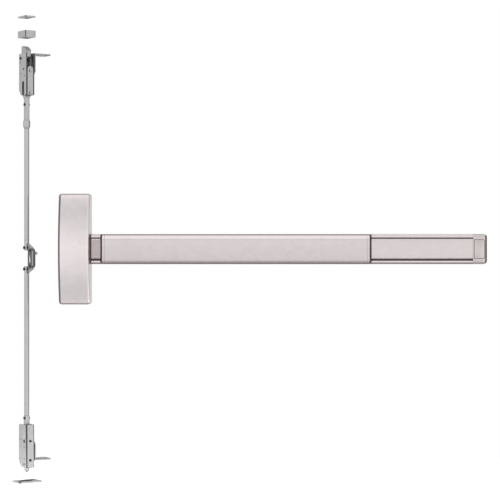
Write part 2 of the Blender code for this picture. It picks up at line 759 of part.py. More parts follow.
def rocker_bracket(name, pivot_x):
    """A folded U on the channel's floor that carries a rocker's pivot pin."""
    back = channel_floor - SEAT_GAP
    tip = -ROCKER_DEPTH - PIVOT_PIN_RADIUS - 0.002
    inner, outer = pivot_ear_inner, pivot_ear_outer
    outline = [
        (back, outer), (tip, outer), (tip, inner), (back - SHEET, inner),
        (back - SHEET, -inner), (tip, -inner), (tip, -outer), (back, -outer),
    ]
    half = PIVOT_BRACKET_HALF
    bracket = add(name, solid((prism, outline, "X", pivot_x - half, pivot_x + half)), ZINC)
    bore = circle(pivot_x, -ROCKER_DEPTH, PIVOT_PIN_RADIUS + SEAT_GAP)
    cut(bracket, (prism, bore, "Z", -outer - 0.001, outer + 0.001))
    return bracket


def headed_pin(bm, axis, half_grip, radius, head_radius, head, a, b, count=12):
    """A pin along an axis through the frame's middle, with a head at each end."""
    grip = half_grip + SEAT_GAP
    stations = [
        (-grip - head, head_radius), (-grip, head_radius), (-grip, radius),
        (grip, radius), (grip, head_radius), (grip + head, head_radius),
    ]
    turned(bm, stations, axis, a, b, count)


def rocker_pivot_pin(name, pivot_x):
    head = PIVOT_PIN_RADIUS + 0.0014
    shape = (headed_pin, "Z", pivot_ear_outer, PIVOT_PIN_RADIUS, head, 0.0012, pivot_x, -ROCKER_DEPTH)
    add(name, solid(shape), ROD_STEEL)


def bar_bracket(name, pivot_x):
    """A folded U inside the bar whose long slots carry a rocker's outer pin."""
    reach = ROCKER_ARM * math.cos(bar_half_swing)
    x = pivot_x + (reach + ROCKER_ARM) / 2
    y = -ROCKER_DEPTH - ROCKER_ARM * math.sin(bar_half_swing)
    back = -bar_projection + BAR_WALL + SEAT_GAP
    tip = y + ROCKER_PIN_RADIUS + RUN_GAP + 0.0022
    inner, outer = ROCKER_HALF + RUN_GAP, link_ear_outer
    outline = [
        (back, outer), (back, -outer), (tip, -outer), (tip, -inner),
        (back + SHEET, -inner), (back + SHEET, inner), (tip, inner), (tip, outer),
    ]
    half = BAR_BRACKET_HALF
    bracket = add(name, solid((prism, outline, "X", x - half, x + half)), ZINC)
    hole = slot(x, y, (ROCKER_ARM - reach) / 2, ROCKER_PIN_RADIUS + RUN_GAP)
    cut(bracket, (prism, hole, "Z", -outer - 0.001, outer + 0.001))
    return bracket


def link_ear_outline(x, y):
    """A link ear in (x, y): straight sides up to a round end about the rocker's short pin."""
    r = ROCKER_PIN_RADIUS + RUN_GAP + 0.002
    foot, end = -LINK_DEPTH - 0.001, r - 0.0004
    return rounded([(x - r, foot, 0), (x + r, foot, 0), (x + r, y - r, end), (x - r, y - r, end)])


def actuator_link():
    """The strap along the channel that ties both rockers to the lift lever."""
    stud_x = LEVER_PIVOT_X + LEVER_LINK_ARM * math.sin(lever_half_swing)
    start = stud_x - 0.006
    end = spring_tab_x + LINK_SHEET
    half = link_ear_outer
    strap = rounded([(start, -half, 0.004), (end, -half, 0), (end, half, 0), (start, half, 0.004)])
    bm = solid((prism, strap, "Y", -LINK_DEPTH - LINK_SHEET, -LINK_DEPTH))
    link = add("actuator_link", bm, ROD_STEEL)
    inner = ROCKER_HALF + RUN_GAP
    for pivot_x in (left_rocker_x, right_rocker_x):
        x, y = rocker_point(pivot_x, 0, LINK_ARM)
        ear = link_ear_outline(x, y)
        for side in (1, -1):
            join(link, (prism, ear, "Z", *sorted((side * inner, side * half))))
        rise = LINK_ARM * (1 - math.cos(bar_half_swing))
        hole = slot(x, y + rise / 2, rise / 2, ROCKER_PIN_RADIUS + RUN_GAP, math.pi / 2)
        cut(link, (prism, hole, "Z", -half - 0.001, half + 0.001))
    foot, tip = -LINK_DEPTH - 0.001, -SPRING_DEPTH - 0.007
    tab = rounded([(foot, -half, 0), (tip, -half, 0.002), (tip, half, 0.002), (foot, half, 0)])
    join(link, (prism, tab, "X", spring_tab_x, end))
    hook = circle(-SPRING_DEPTH - SPRING_RADIUS, 0, SPRING_WIRE + SEAT_GAP, 12)
    cut(link, (prism, hook, "X", spring_tab_x - 0.001, end + 0.001))
    drop = LEVER_LINK_ARM * (1 - math.cos(lever_half_swing))
    eye = slot(stud_x, -drop / 2, drop / 2, ROCKER_PIN_RADIUS + RUN_GAP, math.pi / 2)
    cut(link, (prism, eye, "Y", -LINK_DEPTH - LINK_SHEET - 0.001, -LINK_DEPTH + 0.001))
    return link


def spring_anchor():
    x = spring_tab_x + LINK_SHEET + SPRING_LENGTH
    back = channel_floor - SEAT_GAP
    half = 0.008
    outline = [
        (x, back), (x, -SPRING_DEPTH - 0.007), (x + SHEET, -SPRING_DEPTH - 0.007),
        (x + SHEET, back - SHEET), (x + 0.014, back - SHEET), (x + 0.014, back),
    ]
    anchor = add("spring_anchor", solid((prism, outline, "Z", -half, half)), ZINC)
    hook = circle(-SPRING_DEPTH - SPRING_RADIUS, 0, SPRING_WIRE + SEAT_GAP, 12)
    cut(anchor, (prism, hook, "X", x - 0.001, x + SHEET + 0.001))
    return anchor


def return_spring():
    """An extension spring whose tails run through the link's tab and the anchor."""
    start = spring_tab_x + LINK_SHEET
    coil_start, coil_end = start + 0.003, start + SPRING_LENGTH - 0.003
    tail = LINK_SHEET + 0.0012
    steps = 10 * SPRING_TURNS
    radius = SPRING_RADIUS
    points = [(start - tail, -SPRING_DEPTH - radius, 0)]
    for i in range(steps + 1):
        turn = 2 * math.pi * i / 10
        x = coil_start + (coil_end - coil_start) * i / steps
        points.append((x, -SPRING_DEPTH - radius * math.cos(turn), radius * math.sin(turn)))
    points.append((start + SPRING_LENGTH + tail, -SPRING_DEPTH - radius, 0))
    curve = bpy.data.curves.new("return_spring", "CURVE")
    curve.dimensions = "3D"
    curve.bevel_depth = SPRING_WIRE
    curve.bevel_resolution = 0
    curve.use_fill_caps = True
    line = curve.splines.new("POLY")
    line.points.add(len(points) - 1)
    for point, place in zip(line.points, points):
        point.co = (*place, 1)
    curve.materials.append(material(*SPRING_STEEL))
    spring = bpy.data.objects.new("return_spring", curve)
    bpy.context.scene.collection.objects.link(spring)
    return spring


def folded_case(name, side, half_width, wall, web, open_end, fold, rod_set):
    """Sheet folded into a U along Z: its side outline in (y, z), its web and its open end in y."""
    bm = solid((prism, side, "X", -half_width, half_width))
    bevel_edges(
        bm, fold, 3, lambda a, b: max(abs(a.y - web), abs(b.y - web)) < 1e-6 and abs(a.x - b.x) < 1e-6
    )
    case = add(name, bm, ZINC, parent=rod_set)
    inward = math.copysign(1, open_end - web)
    inner = half_width - wall
    hollow = rectangle(-inner, inner, *sorted((web + inward * wall, open_end + inward * 0.001)))
    heights = [z for _, z in side]
    cut(case, (prism, hollow, "Z", min(heights) - 0.001, max(heights) + 0.001))
    return case


def top_latch_case(rod_set):
    """A folded U, open towards -Y where the bolt swings, with a notch for the slide."""
    w, d, wall = latch_half_w, latch_half_d, LATCH_WALL
    low, high = TOP_CASE_BOTTOM, top_case_top
    side = rounded([
        (-d, low, 0), (d - 0.008, low, 0.004), (d, low + 0.010, 0.006), (d, high, 0.003), (-d, high, 0)
    ], 4)
    case = folded_case("top_latch_case", side, w, wall, d, -d, LATCH_CORNER, rod_set)
    reach = w + 0.001
    notch = rounded([
        (-0.0055, low - 0.002, 0), (0.0015, low - 0.002, 0),
        (0.0015, low + 0.026, 0.0034), (-0.0055, low + 0.026, 0.0034),
    ])
    bolt_bore = circle(bolt_pivot_y, bolt_pivot_z, BOLT_PIN_RADIUS + SEAT_GAP, 14)
    cut(case, (prism, notch, "X", -reach, -latch_inner_w + 0.001), (prism, bolt_bore, "X", -reach, reach))
    holes = [circle(y, high - drop, radius, 12) for y, drop, radius in TOP_WALL_HOLES]
    cut(case, *[(prism, hole, "X", -reach, -latch_inner_w + 0.001) for hole in holes])
    screws = [circle(0, z, SCREW_RADIUS + SEAT_GAP, 12) for z in top_screw_heights()]
    cut(case, *[(prism, hole, "Y", d - wall - 0.001, d + 0.001) for hole in screws])
    return case


def top_screw_heights():
    return (TOP_CASE_BOTTOM + 0.0045, TOP_CASE_BOTTOM + COVER_HEIGHT - 0.009)


def top_latch_cover(rod_set):
    half = latch_inner_w - SEAT_GAP
    low, high = TOP_CASE_BOTTOM, TOP_CASE_BOTTOM + COVER_HEIGHT
    end = half - 0.0003
    outline = rounded([(-half, low, 0), (half, low, 0), (half, high, end), (-half, high, end)], 6)
    front, back = -latch_half_d, -latch_half_d + COVER_THICKNESS
    cover = add("top_latch_cover", solid((prism, outline, "Y", front, back)), ZINC, parent=rod_set)
    screws = [circle(0, z, SCREW_RADIUS + SEAT_GAP, 12) for z in top_screw_heights()]
    cut(cover, *[(prism, hole, "Y", front - 0.001, back + 0.001) for hole in screws])
    return cover


def latch_screw(name, z, front, end, rod_set):
    face = front - SEAT_GAP
    stations = [
        (face - SCREW_HEAD, SCREW_HEAD_RADIUS - 0.0005), (face, SCREW_HEAD_RADIUS),
        (face, SCREW_RADIUS), (end, SCREW_RADIUS),
    ]
    add(name, solid((turned, stations, "Y", 0, z, 14)), DARK_PIN, parent=rod_set)


def top_latch_bolt(rod_set):
    """A hinged bolt: its nose is an arc about the pivot, so it drops inside its own width."""
    radius, hub, front = BOLT_NOSE_RADIUS, BOLT_HUB_RADIUS, BOLT_FRONT
    nose_start = math.acos(hub / radius)
    nose_end = math.pi - math.acos(front / radius)
    outline = []
    for i in range(11):
        turn = nose_start + (nose_end - nose_start) * i / 10
        outline.append((radius * math.cos(turn), radius * math.sin(turn)))
    outline.append((-front, 0.0016))
    outline.append((-front + 0.0016, 0))
    for i in range(7):
        turn = math.radians(252 + 108 * i / 6)
        outline.append((hub * math.cos(turn), hub * math.sin(turn)))
    outline = [(bolt_pivot_y + y, bolt_pivot_z + z) for y, z in outline]
    half = BOLT_WIDTH / 2
    pivot = (0, bolt_pivot_y, bolt_pivot_z)
    bolt = add("top_latch_bolt", solid((prism, outline, "X", -half, half)), MALLEABLE, pivot, rod_set)
    angle = math.pi - math.radians(BOLT_SWING_DEG / 2)
    far = math.hypot(drive_reach, drive_rise)
    middle, spare = (far + drive_reach) / 2, (far - drive_reach) / 2 + 0.0002
    drive = slot(
        bolt_pivot_y + middle * math.cos(angle), bolt_pivot_z + middle * math.sin(angle),
        spare, PIN_RADIUS + 0.00045, angle,
    )
    bore = circle(bolt_pivot_y, bolt_pivot_z, BOLT_PIN_RADIUS + SEAT_GAP)
    cut(bolt, *[(prism, hole, "X", -half - 0.001, half + 0.001) for hole in (drive, bore)])
    return bolt


def bolt_pivot_pin(rod_set):
    """The bolt's hinge pin: a head outside the -X wall, and flush in the +X wall."""
    seat, end = -latch_half_w - SEAT_GAP, latch_half_w
    head = BOLT_PIN_RADIUS + 0.0008
    stations = [(seat - 0.0007, head), (seat, head), (seat, BOLT_PIN_RADIUS), (end, BOLT_PIN_RADIUS)]
    bm = solid((turned, stations, "X", bolt_pivot_y, bolt_pivot_z, 16))
    add("bolt_pivot_pin", bm, DARK_PIN, parent=rod_set)


def top_latch_slide(rod_set):
    """A fork on the rod: its two legs carry the pin that turns the bolt."""
    outer = latch_inner_w - SEAT_GAP
    inner = BOLT_WIDTH / 2 + RUN_GAP
    stem = SLIDE_STEM_HALF
    top = bolt_pivot_z + drive_rise + PIN_RADIUS + 0.001
    crotch = TOP_CASE_BOTTOM + 0.001
    low = TOP_CASE_BOTTOM - SLIDE_STEM_LENGTH
    outline = [
        (-stem, low), (stem, low), (stem, crotch - 0.007), (outer, crotch - 0.003),
        (outer, top), (inner, top), (inner, crotch), (-inner, crotch), (-inner, top), (-outer, top),
        (-outer, crotch - 0.003), (-stem, crotch - 0.007),
    ]
    depth = SLIDE_HALF_DEPTH
    slide = add("top_latch_slide", solid((prism, outline, "Y", -depth, depth)), ROD_STEEL, parent=rod_set)
    drive = circle(bolt_pivot_y - drive_reach, bolt_pivot_z + drive_rise, PIN_RADIUS + SEAT_GAP, 14)
    tail = circle(0, tail_pin_z(), TAIL_PIN_RADIUS + SEAT_GAP, 12)
    cut(slide, (prism, drive, "X", -0.01, 0.01), (prism, tail, "X", -0.01, 0.01))
    bore = circle(0, 0, STUD_RADIUS + SEAT_GAP, 14)
    cut(slide, (prism, bore, "Z", low - 0.001, rod_shoulder_z() + STUD_LENGTH + 0.001))
    return slide


def tail_pin_z():
    return TOP_CASE_BOTTOM - 0.017


def rod_shoulder_z():
    return TOP_CASE_BOTTOM - SLIDE_STEM_LENGTH - COUPLING_LENGTH - 2 * SEAT_GAP


def slide_pins(rod_set):
    half = latch_inner_w - SEAT_GAP
    drive = circle(bolt_pivot_y - drive_reach, bolt_pivot_z + drive_rise, PIN_RADIUS)
    add("bolt_drive_pin", solid((prism, drive, "X", -half, half)), ROD_STEEL, parent=rod_set)
    place = (0, tail_pin_z())
    shape = (headed_pin, "X", SLIDE_STEM_HALF, TAIL_PIN_RADIUS, TAIL_PIN_HEAD_RADIUS, PIN_HEAD, *place)
    add("slide_tail_pin", solid(shape), DARK_PIN, parent=rod_set)


def l_bracket(name, leg_end, flange_z, rod_set):
    """A bracket on a latch case's +X face: a leg along the case and a flange out from it."""
    x0 = latch_half_w + SEAT_GAP
    x1, far, half = x0 + BRACKET_SHEET, x0 + BRACKET_LENGTH, BRACKET_WIDTH / 2
    shift = BRACKET_SHIFT
    faces = (flange_z, flange_z + BRACKET_SHEET)
    outer, inner = faces if leg_end > flange_z else faces[::-1]
    outline = [(x0, outer), (far, outer), (far, inner), (x1, inner), (x1, leg_end), (x0, leg_end)]
    bm = bmesh.new()
    prism(bm, outline, "Y", shift - half, shift + half)
    bevel_edges(
        bm, LEG_CORNER, 4, lambda a, b: max(abs(a.z - leg_end), abs(b.z - leg_end)) < 1e-6 and a.y == b.y
    )
    bevel_edges(bm, FLANGE_CORNER, 3, lambda a, b: min(a.x, b.x) > far - 1e-6 and a.y == b.y)
    bracket = add(name, bm, ZINC, parent=rod_set)
    through = (flange_z - 0.001, flange_z + BRACKET_SHEET + 0.001)
    square = rectangle(x0 + 0.0085, x0 + 0.0135, shift - 0.0065, shift - 0.0015)
    oval = slot(far - 0.0065, shift - 0.0045, 0.0018, 0.0021, math.pi / 2, 5)
    round_hole = circle(far - 0.0105, shift + 0.0075, 0.0025, 12)
    cut(bracket, *[(prism, hole, "Z", *through) for hole in (square, oval, round_hole)])
    middle = (leg_end + inner) / 2
    leg_holes = [circle(shift, middle + dz, 0.0018, 12) for dz in (-0.008, 0.008)]
    cut(bracket, *[(prism, hole, "X", x0 - 0.001, x1 + 0.001) for hole in leg_holes])
    return bracket


def top_rod_coupling(rod_set):
    high = TOP_CASE_BOTTOM - SLIDE_STEM_LENGTH - SEAT_GAP
    low = high - COUPLING_LENGTH
    stations = [
        (low, ROD_RADIUS + 0.0004), (low + 0.0035, COUPLING_RADIUS),
        (high - 0.001, COUPLING_RADIUS), (high, COUPLING_RADIUS - 0.001),
    ]
    coupling = add("top_rod_coupling", solid((turned, stations, "Z", 0, 0, 18)), ROD_STEEL, parent=rod_set)
    cut(coupling, (prism, circle(0, 0, STUD_RADIUS + SEAT_GAP, 14), "Z", low - 0.001, high + 0.001))
    return coupling


def clevis_shapes(pin_z, end_z, side):
    """The slot and cross bore that fork a rod's end for its crank; side is +1 when the end is below."""
    half = frame_inner
    deep = pin_z + side * CLEVIS_DEPTH
    mouth = end_z - side * 0.001
    gap = rectangle(-half, half, *sorted((deep, mouth)))
    reach = ROD_RADIUS + 0.001
    bore = circle(0, pin_z, PIN_RADIUS + SEAT_GAP)
    return (prism, gap, "Y", -reach, reach), (prism, bore, "X", -reach, reach)


def top_rod(rod_set):
    low, shoulder = top_pin_z - ROD_END, rod_shoulder_z()
    tip = shoulder + STUD_LENGTH
    stations = [
        (low, ROD_RADIUS - 0.0006), (low + 0.0006, ROD_RADIUS), (shoulder, ROD_RADIUS),
        (shoulder, STUD_RADIUS), (tip - 0.0006, STUD_RADIUS), (tip, STUD_RADIUS - 0.0006),
    ]
    rod = add("top_rod", solid((turned, stations, "Z", 0, 0, 16)), ROD_STEEL, parent=rod_set)
    gap, bore = clevis_shapes(top_pin_z, low, 1)
    cut(rod, gap)
    cut(rod, bore)
    return rod


def bottom_rod(rod_set):
    high, shoulder = bottom_pin_z + ROD_END, tail_top_z() + SEAT_GAP
    tip = shoulder - 0.011
    stations = [
        (high, ROD_RADIUS - 0.0006), (high - 0.0006, ROD_RADIUS), (shoulder, ROD_RADIUS),
        (shoulder, TAIL_STUD_RADIUS), (tip, TAIL_STUD_RADIUS),
    ]
    rod = add("bottom_rod", solid((turned, stations, "Z", 0, 0, 16)), ROD_STEEL, parent=rod_set)
    gap, bore = clevis_shapes(bottom_pin_z, high, -1)
    cut(rod, gap)
    cut(rod, bore)
    cut(rod, (prism, circle(0, bolt_tail_pin_z(), TAIL_PIN_RADIUS + SEAT_GAP, 12), "X", -0.006, 0.006))
    return rod


def rod_cross_pins(rod_set):
    for name, z in (("top_rod_pin", top_pin_z), ("bottom_rod_pin", bottom_pin_z)):
        shape = (headed_pin, "X", ROD_RADIUS, PIN_RADIUS, PIN_HEAD_RADIUS, PIN_HEAD, 0, z)
        add(name, solid(shape), DARK_PIN, parent=rod_set)


def stud_place(swing=0.0):
    """Where the lift stud lies in (y, z) when the upper crank has turned from its middle."""
    turn = math.radians(LIFT_STUD_DEG) + swing
    reach = LIFT_STUD_ARM
    return crank_pivot_y + reach * math.cos(turn), upper_pivot_z + reach * math.sin(turn)


def connector_frame(rod_set):
    """A small folded channel that carries both cranks in front of the rods' ends."""
    half, past = FRAME_WIDTH / 2, 0.001
    back, front = frame_back, frame_back - FRAME_DEPTH
    low, high = CONNECTOR_Z - frame_height / 2, CONNECTOR_Z + frame_height / 2
    trim = FRAME_TRIM
    side = [
        (back, low + trim), (back - trim, low), (front + trim, low), (front, low + trim),
        (front, high - trim), (front + trim, high), (back - trim, high), (back, high - trim),
    ]
    frame = folded_case("connector_frame", side, half, FRAME_WALL, front, back, 0.001, rod_set)
    window_y = back - FRAME_DEPTH * 0.4
    window_half = (upper_pivot_z - lower_pivot_z) / 2 - FRAME_WINDOW_INSET
    window = slot(window_y, CONNECTOR_Z, window_half, FRAME_WINDOW_HALF, math.pi / 2)
    cut(frame, (prism, window, "X", -half - past, 0))
    start, end = stud_place(crank_half_swing), stud_place(-crank_half_swing)
    run = (end[0] - start[0], end[1] - start[1])
    middle = stud_place()
    relief = slot(
        (start[0] + middle[0]) / 2 + run[0] / 4, (start[1] + middle[1]) / 2 + run[1] / 4,
        math.hypot(*run) / 2, LIFT_STUD_RADIUS + RUN_GAP + 0.0001, math.atan2(run[1], run[0]),
    )
    cut(frame, (prism, relief, "X", 0, half + past))
    bores = [circle(crank_pivot_y, z, PIN_RADIUS + SEAT_GAP, 14) for z in pivot_heights()]
    cut(frame, *[(prism, bore, "X", -half - past, half + past) for bore in bores])
    return frame


def pivot_heights():
    return (upper_pivot_z, lower_pivot_z)


def crank(name, pivot_z, side, corners, rod_set):
    """A crank plate on its pivot: an eye for a rod's pin, and a hole for the link's stud."""
    y0 = crank_pivot_y
    outline = rounded([(y0 + y, pivot_z + side * z, r) for y, z, r in corners], 4)
    bm = solid((prism, outline, "X", crank_low, crank_high))
    plate = add(name, bm, MALLEABLE, (0, y0, pivot_z), rod_set)
    plate.rotation_euler.x = side * crank_half_swing
    far = CRANK_REACH / math.cos(crank_half_swing)
    middle, spare = (far + CRANK_REACH) / 2, (far - CRANK_REACH) / 2
    eye = slot(y0 + middle, pivot_z, spare + 0.0001, PIN_RADIUS + RUN_GAP)
    bore = circle(y0, pivot_z, PIN_RADIUS + SEAT_GAP, 14)
    stud = circle(y0 + side * CRANK_LINK_ARM, pivot_z, LINK_STUD_RADIUS + LINK_STUD_PLAY, 12)
    through = (crank_low - 0.001, crank_high + 0.001)
    cut(plate, *[(prism, hole, "X", *through) for hole in (eye, bore, stud)])
    return plate


def arm_corners():
    """The four corners that both cranks share: the arm's round end, and its crest above."""
    hub, tip = CRANK_HUB, CRANK_REACH + CRANK_HUB + 0.0003
    end = hub - 0.0003
    crest = CRANK_CREST
    return [(tip, -hub, end), (tip, hub, end), (CRANK_REACH, crest, 0.003), (-hub, 0.7 * crest, 0.003)]


def upper_crank(rod_set):
    """The crank that the case works: its stud stands out through the frame's +X wall."""
    y, z = stud_place()
    foot_y, foot_z = y - crank_pivot_y, z - upper_pivot_z
    r = LIFT_STUD_RADIUS + 0.0007
    foot = [(foot_y - r, foot_z - r, r - 0.0001), (foot_y + r, foot_z - r, r - 0.0001)]
    corners = foot + [(CRANK_HUB, -CRANK_HUB, 0.002)] + arm_corners()
    plate = crank("upper_crank", upper_pivot_z, 1, corners, rod_set)
    wall = FRAME_WIDTH / 2 + RUN_GAP
    reach = wall + LIFT_STUD_REACH
    stations = [
        (crank_high - 0.001, LIFT_STUD_RADIUS), (wall, LIFT_STUD_RADIUS), (wall, LIFT_STUD_HEAD),
        (reach - 0.0012, LIFT_STUD_HEAD), (reach, LIFT_STUD_HEAD - 0.0014),
    ]
    join(plate, (turned, stations, "X", y, z, 16))
    return plate


def lower_crank(rod_set):
    back, hub = CRANK_LINK_ARM + LINK_STUD_RADIUS + 0.0018, 0.7 * CRANK_HUB
    tail = [(-back, hub, hub - 0.0002), (-back, -hub, hub - 0.0002), (0, -CRANK_HUB, 0.002)]
    return crank("lower_crank", lower_pivot_z, -1, tail + arm_corners(), rod_set)


def crank_link(rod_set):
    """The strap between the cranks, with a stud at each end: it turns them opposite ways."""
    dy = CRANK_LINK_ARM * math.cos(crank_half_swing)
    dz = CRANK_LINK_ARM * math.sin(crank_half_swing)
    ends = [(crank_pivot_y + dy, upper_pivot_z + dz), (crank_pivot_y - dy, lower_pivot_z + dz)]
    (y0, z0), (y1, z1) = ends
    strap = slot(
        (y0 + y1) / 2, (z0 + z1) / 2, math.dist(*ends) / 2, CRANK_LINK_HALF, math.atan2(z1 - z0, y1 - y0)
    )
    low, high = crank_link_low, crank_link_low + CRANK_LINK_SHEET
    link = add("crank_link", solid((prism, strap, "X", low, high)), ROD_STEEL, parent=rod_set)
    for y, z in ends:
        join(link, (prism, circle(y, z, LINK_STUD_RADIUS, 12), "X", high - 0.0006, crank_high - 0.0005))
    return link


def crank_pins(rod_set):
    for name, z in zip(("upper_crank_pin", "lower_crank_pin"), pivot_heights()):
        grip, head = FRAME_WIDTH / 2, PIN_HEAD / 2
        shape = (headed_pin, "X", grip, PIN_RADIUS, PIN_HEAD_RADIUS, head, crank_pivot_y, z)
        add(name, solid(shape), DARK_PIN, parent=rod_set)


def tail_top_z():
    return BOTTOM_CASE_TOP + 0.016


def bolt_tail_pin_z():
    return tail_top_z() - 0.0045


def bottom_latch_case(rod_set):
    """A folded U with its web towards -Y, round at its lower back corner."""
    w, d, wall = latch_half_w, latch_half_d, LATCH_WALL
    low, high = bottom_case_bottom, BOTTOM_CASE_TOP
    side = rounded([
        (-d, low, 0.001), (d - 0.010, low, 0.004), (d, low + 0.009, 0.004), (d, high, 0.003), (-d, high, 0)
    ], 4)
    case = folded_case("bottom_latch_case", side, w, wall, -d, d, LATCH_CORNER, rod_set)
    holes = [circle(y, high - drop, radius, 10) for y, drop, radius in BOTTOM_WALL_HOLES]
    cut(case, *[(prism, hole, "X", -w - 0.001, -w + wall + 0.001) for hole in holes])
    screws = [circle(0, z, SCREW_RADIUS + SEAT_GAP, 12) for z in bottom_screw_heights()]
    cut(case, *[(prism, hole, "Y", -d - 0.001, -d + wall + 0.001) for hole in screws])
    return case


def bottom_screw_heights():
    return (BOTTOM_CASE_TOP - 0.0305 + 0.018 - GUIDE_LENGTH + 0.0005, BOTTOM_CASE_TOP - 0.0305)


def guide_top_z():
    return BOTTOM_CASE_TOP - 0.024


def bottom_latch_guide(rod_set):
    """The block inside the bottom case that the bolt slides in."""
    half = latch_inner_w - SEAT_GAP
    front = -latch_half_d + LATCH_WALL + SEAT_GAP
    back = latch_half_d - 0.0125
    corners = [(-half, front, 0.0006), (half, front, 0.0006), (half, back, 0.001), (-half, back, 0.001)]
    outline = rounded(corners, 2)
    high = guide_top_z()
    low = high - GUIDE_LENGTH
    guide = add("bottom_latch_guide", solid((prism, outline, "Z", low, high)), MALLEABLE, parent=rod_set)
    cut(guide, (prism, circle(0, 0, BOTTOM_BOLT_RADIUS + SEAT_GAP, 20), "Z", low - 0.001, high + 0.001))
    screws = [circle(0, z, SCREW_RADIUS + SEAT_GAP, 12) for z in bottom_screw_heights()]
    cut(guide, *[(prism, hole, "Y", front - 0.001, -BOTTOM_BOLT_RADIUS) for hole in screws])
    return guide


def bottom_bolt(rod_set):
    """A square tail that takes the rod, and a round bolt with a ball end."""
    r, tip = BOTTOM_BOLT_RADIUS, bottom_case_bottom - BOTTOM_BOLT_THROW
    top = tail_top_z()
    tail_bottom = top - TAIL_LENGTH
    stations = [(tail_bottom + 0.001, r)]
    for i in range(7):
        turn = math.pi / 2 * i / 6
        stations.append((tip + r - r * math.sin(turn), max(r * math.cos(turn), 1e-9)))
    bolt = add("bottom_bolt", solid((turned, stations[:-1], "Z", 0, 0, 20)), ROD_STEEL, parent=rod_set)
    t = TAIL_HALF
    block = rounded_rectangle(-t, t, -t, t, 0.0008, 2)
    join(bolt, (prism, block, "Z", tail_bottom, top))
    cut(bolt, (prism, circle(0, 0, TAIL_STUD_RADIUS + SEAT_GAP), "Z", top - 0.0115, top + 0.001))
    cross = circle(0, bolt_tail_pin_z(), TAIL_PIN_RADIUS + SEAT_GAP, 12)
    cut(bolt, (prism, cross, "X", -t - 0.001, t + 0.001))
    return bolt


def tail_pin(rod_set):
    place = (0, bolt_tail_pin_z())
    shape = (headed_pin, "X", TAIL_HALF, TAIL_PIN_RADIUS, TAIL_PIN_HEAD_RADIUS, PIN_HEAD, *place)
    add("bolt_tail_pin", solid(shape), DARK_PIN, parent=rod_set)


def top_strike_plate(rod_set):
    w, d = STRIKE_WIDTH / 2, STRIKE_DEPTH / 2
    z0, z1 = strike_low, strike_low + STRIKE_SHEET
    shape = (prism, rounded_rectangle(-w, w, -d, d, 0.002), "Z", z0, z1)
    plate = add("top_strike_plate", solid(shape), ZINC, parent=rod_set)
    cut(plate, (prism, strike_window(0.0012), "Z", z0 - 0.001, z1 + 0.001), *strike_screw_holes(z0, z1))
    return plate


def strike_window(radius):
    half, back = STRIKE_WINDOW_WIDTH / 2, STRIKE_DEPTH / 2 - 0.0045
    return rounded_rectangle(-half, half, back - STRIKE_WINDOW_DEPTH, back, radius, 3)


def strike_screw_holes(z0, z1):
    y = -STRIKE_DEPTH / 2 + 0.007
    half = STRIKE_HOLE_SPACING / 2
    holes = [circle(x, y, STRIKE_HOLE_RADIUS) for x in (-half, half)]
    return [(prism, hole, "Z", z0 - 0.001, z1 + 0.001) for hole in holes]


def top_strike_box(rod_set):
    w, d, wall = STRIKE_WIDTH / 2, STRIKE_DEPTH / 2, STRIKE_BOX_WALL
    z0, z1 = strike_box_low, strike_box_high
    shape = (prism, rounded_rectangle(-w, w, -d, d, 0.0015, 3), "Z", z0, z1)
    box = add("top_strike_box", solid(shape), ZINC, parent=rod_set)
    hollow = rounded_rectangle(-w + wall, w - wall, -d + wall, d - wall, 0.0008, 2)
    cut(box, (prism, hollow, "Z", z0 + wall, z1 + 0.001))
    window = (prism, strike_window(0.0012), "Z", z0 - 0.001, z0 + wall + 0.001)
    cut(box, window, *strike_screw_holes(z0, z0 + wall))
    return box


def floor_strike(rod_set):
    w, d = FLOOR_STRIKE_WIDTH / 2, FLOOR_STRIKE_DEPTH / 2
    z0, z1 = floor_strike_high - STRIKE_SHEET, floor_strike_high
    shape = (prism, rounded_rectangle(-w, w, -d, d, 0.003), "Z", z0, z1)
    plate = add("floor_strike", solid(shape), ZINC, parent=rod_set)
    ledge = z1 - 0.0012
    rim = [
        (z0 - 0.001, FLOOR_HOLE_RADIUS), (ledge, FLOOR_HOLE_RADIUS),
        (ledge, FLOOR_RIM_RADIUS), (z1 + 0.001, FLOOR_RIM_RADIUS),
    ]
    cut(plate, (turned, rim, "Z", 0, 0, 24))
    for side in (1, -1):
        cone = [(z0 - 0.001, 0.0026), (z0 + 0.0003, 0.0026), (z1, 0.0052), (z1 + 0.001, 0.0062)]
        cut(plate, (turned, cone, "Z", side * 0.0168, side * 0.0082, 16))
    return plate


def build_rail():
    case_chassis()
    case_cover()
    cover_screws()
    lift_lever()
    lever_pivot_pin()
    rail_base_channel()
    lipped_housing("left_rail_housing", stub_start, stub_end)
    infill_plate("left_filler_plate", stub_start, stub_end)
    lipped_housing("right_rail_housing", rail_start, rail_end)
    infill_plate("rail_cover_plate", rail_start, rail_end)
    end_cap()
    end_cap_bracket()
    end_cap_screws()
    push_bar()
    push_bar_end_caps()
    for side, pivot_x in (("left", left_rocker_x), ("right", right_rocker_x)):
        rocker(f"rocker_{side}", pivot_x)
        rocker_bracket(f"rocker_bracket_{side}", pivot_x)
        rocker_pivot_pin(f"rocker_pin_{side}", pivot_x)
        bar_bracket(f"bar_bracket_{side}", pivot_x)
    actuator_link()
    spring_anchor()
    return_spring()


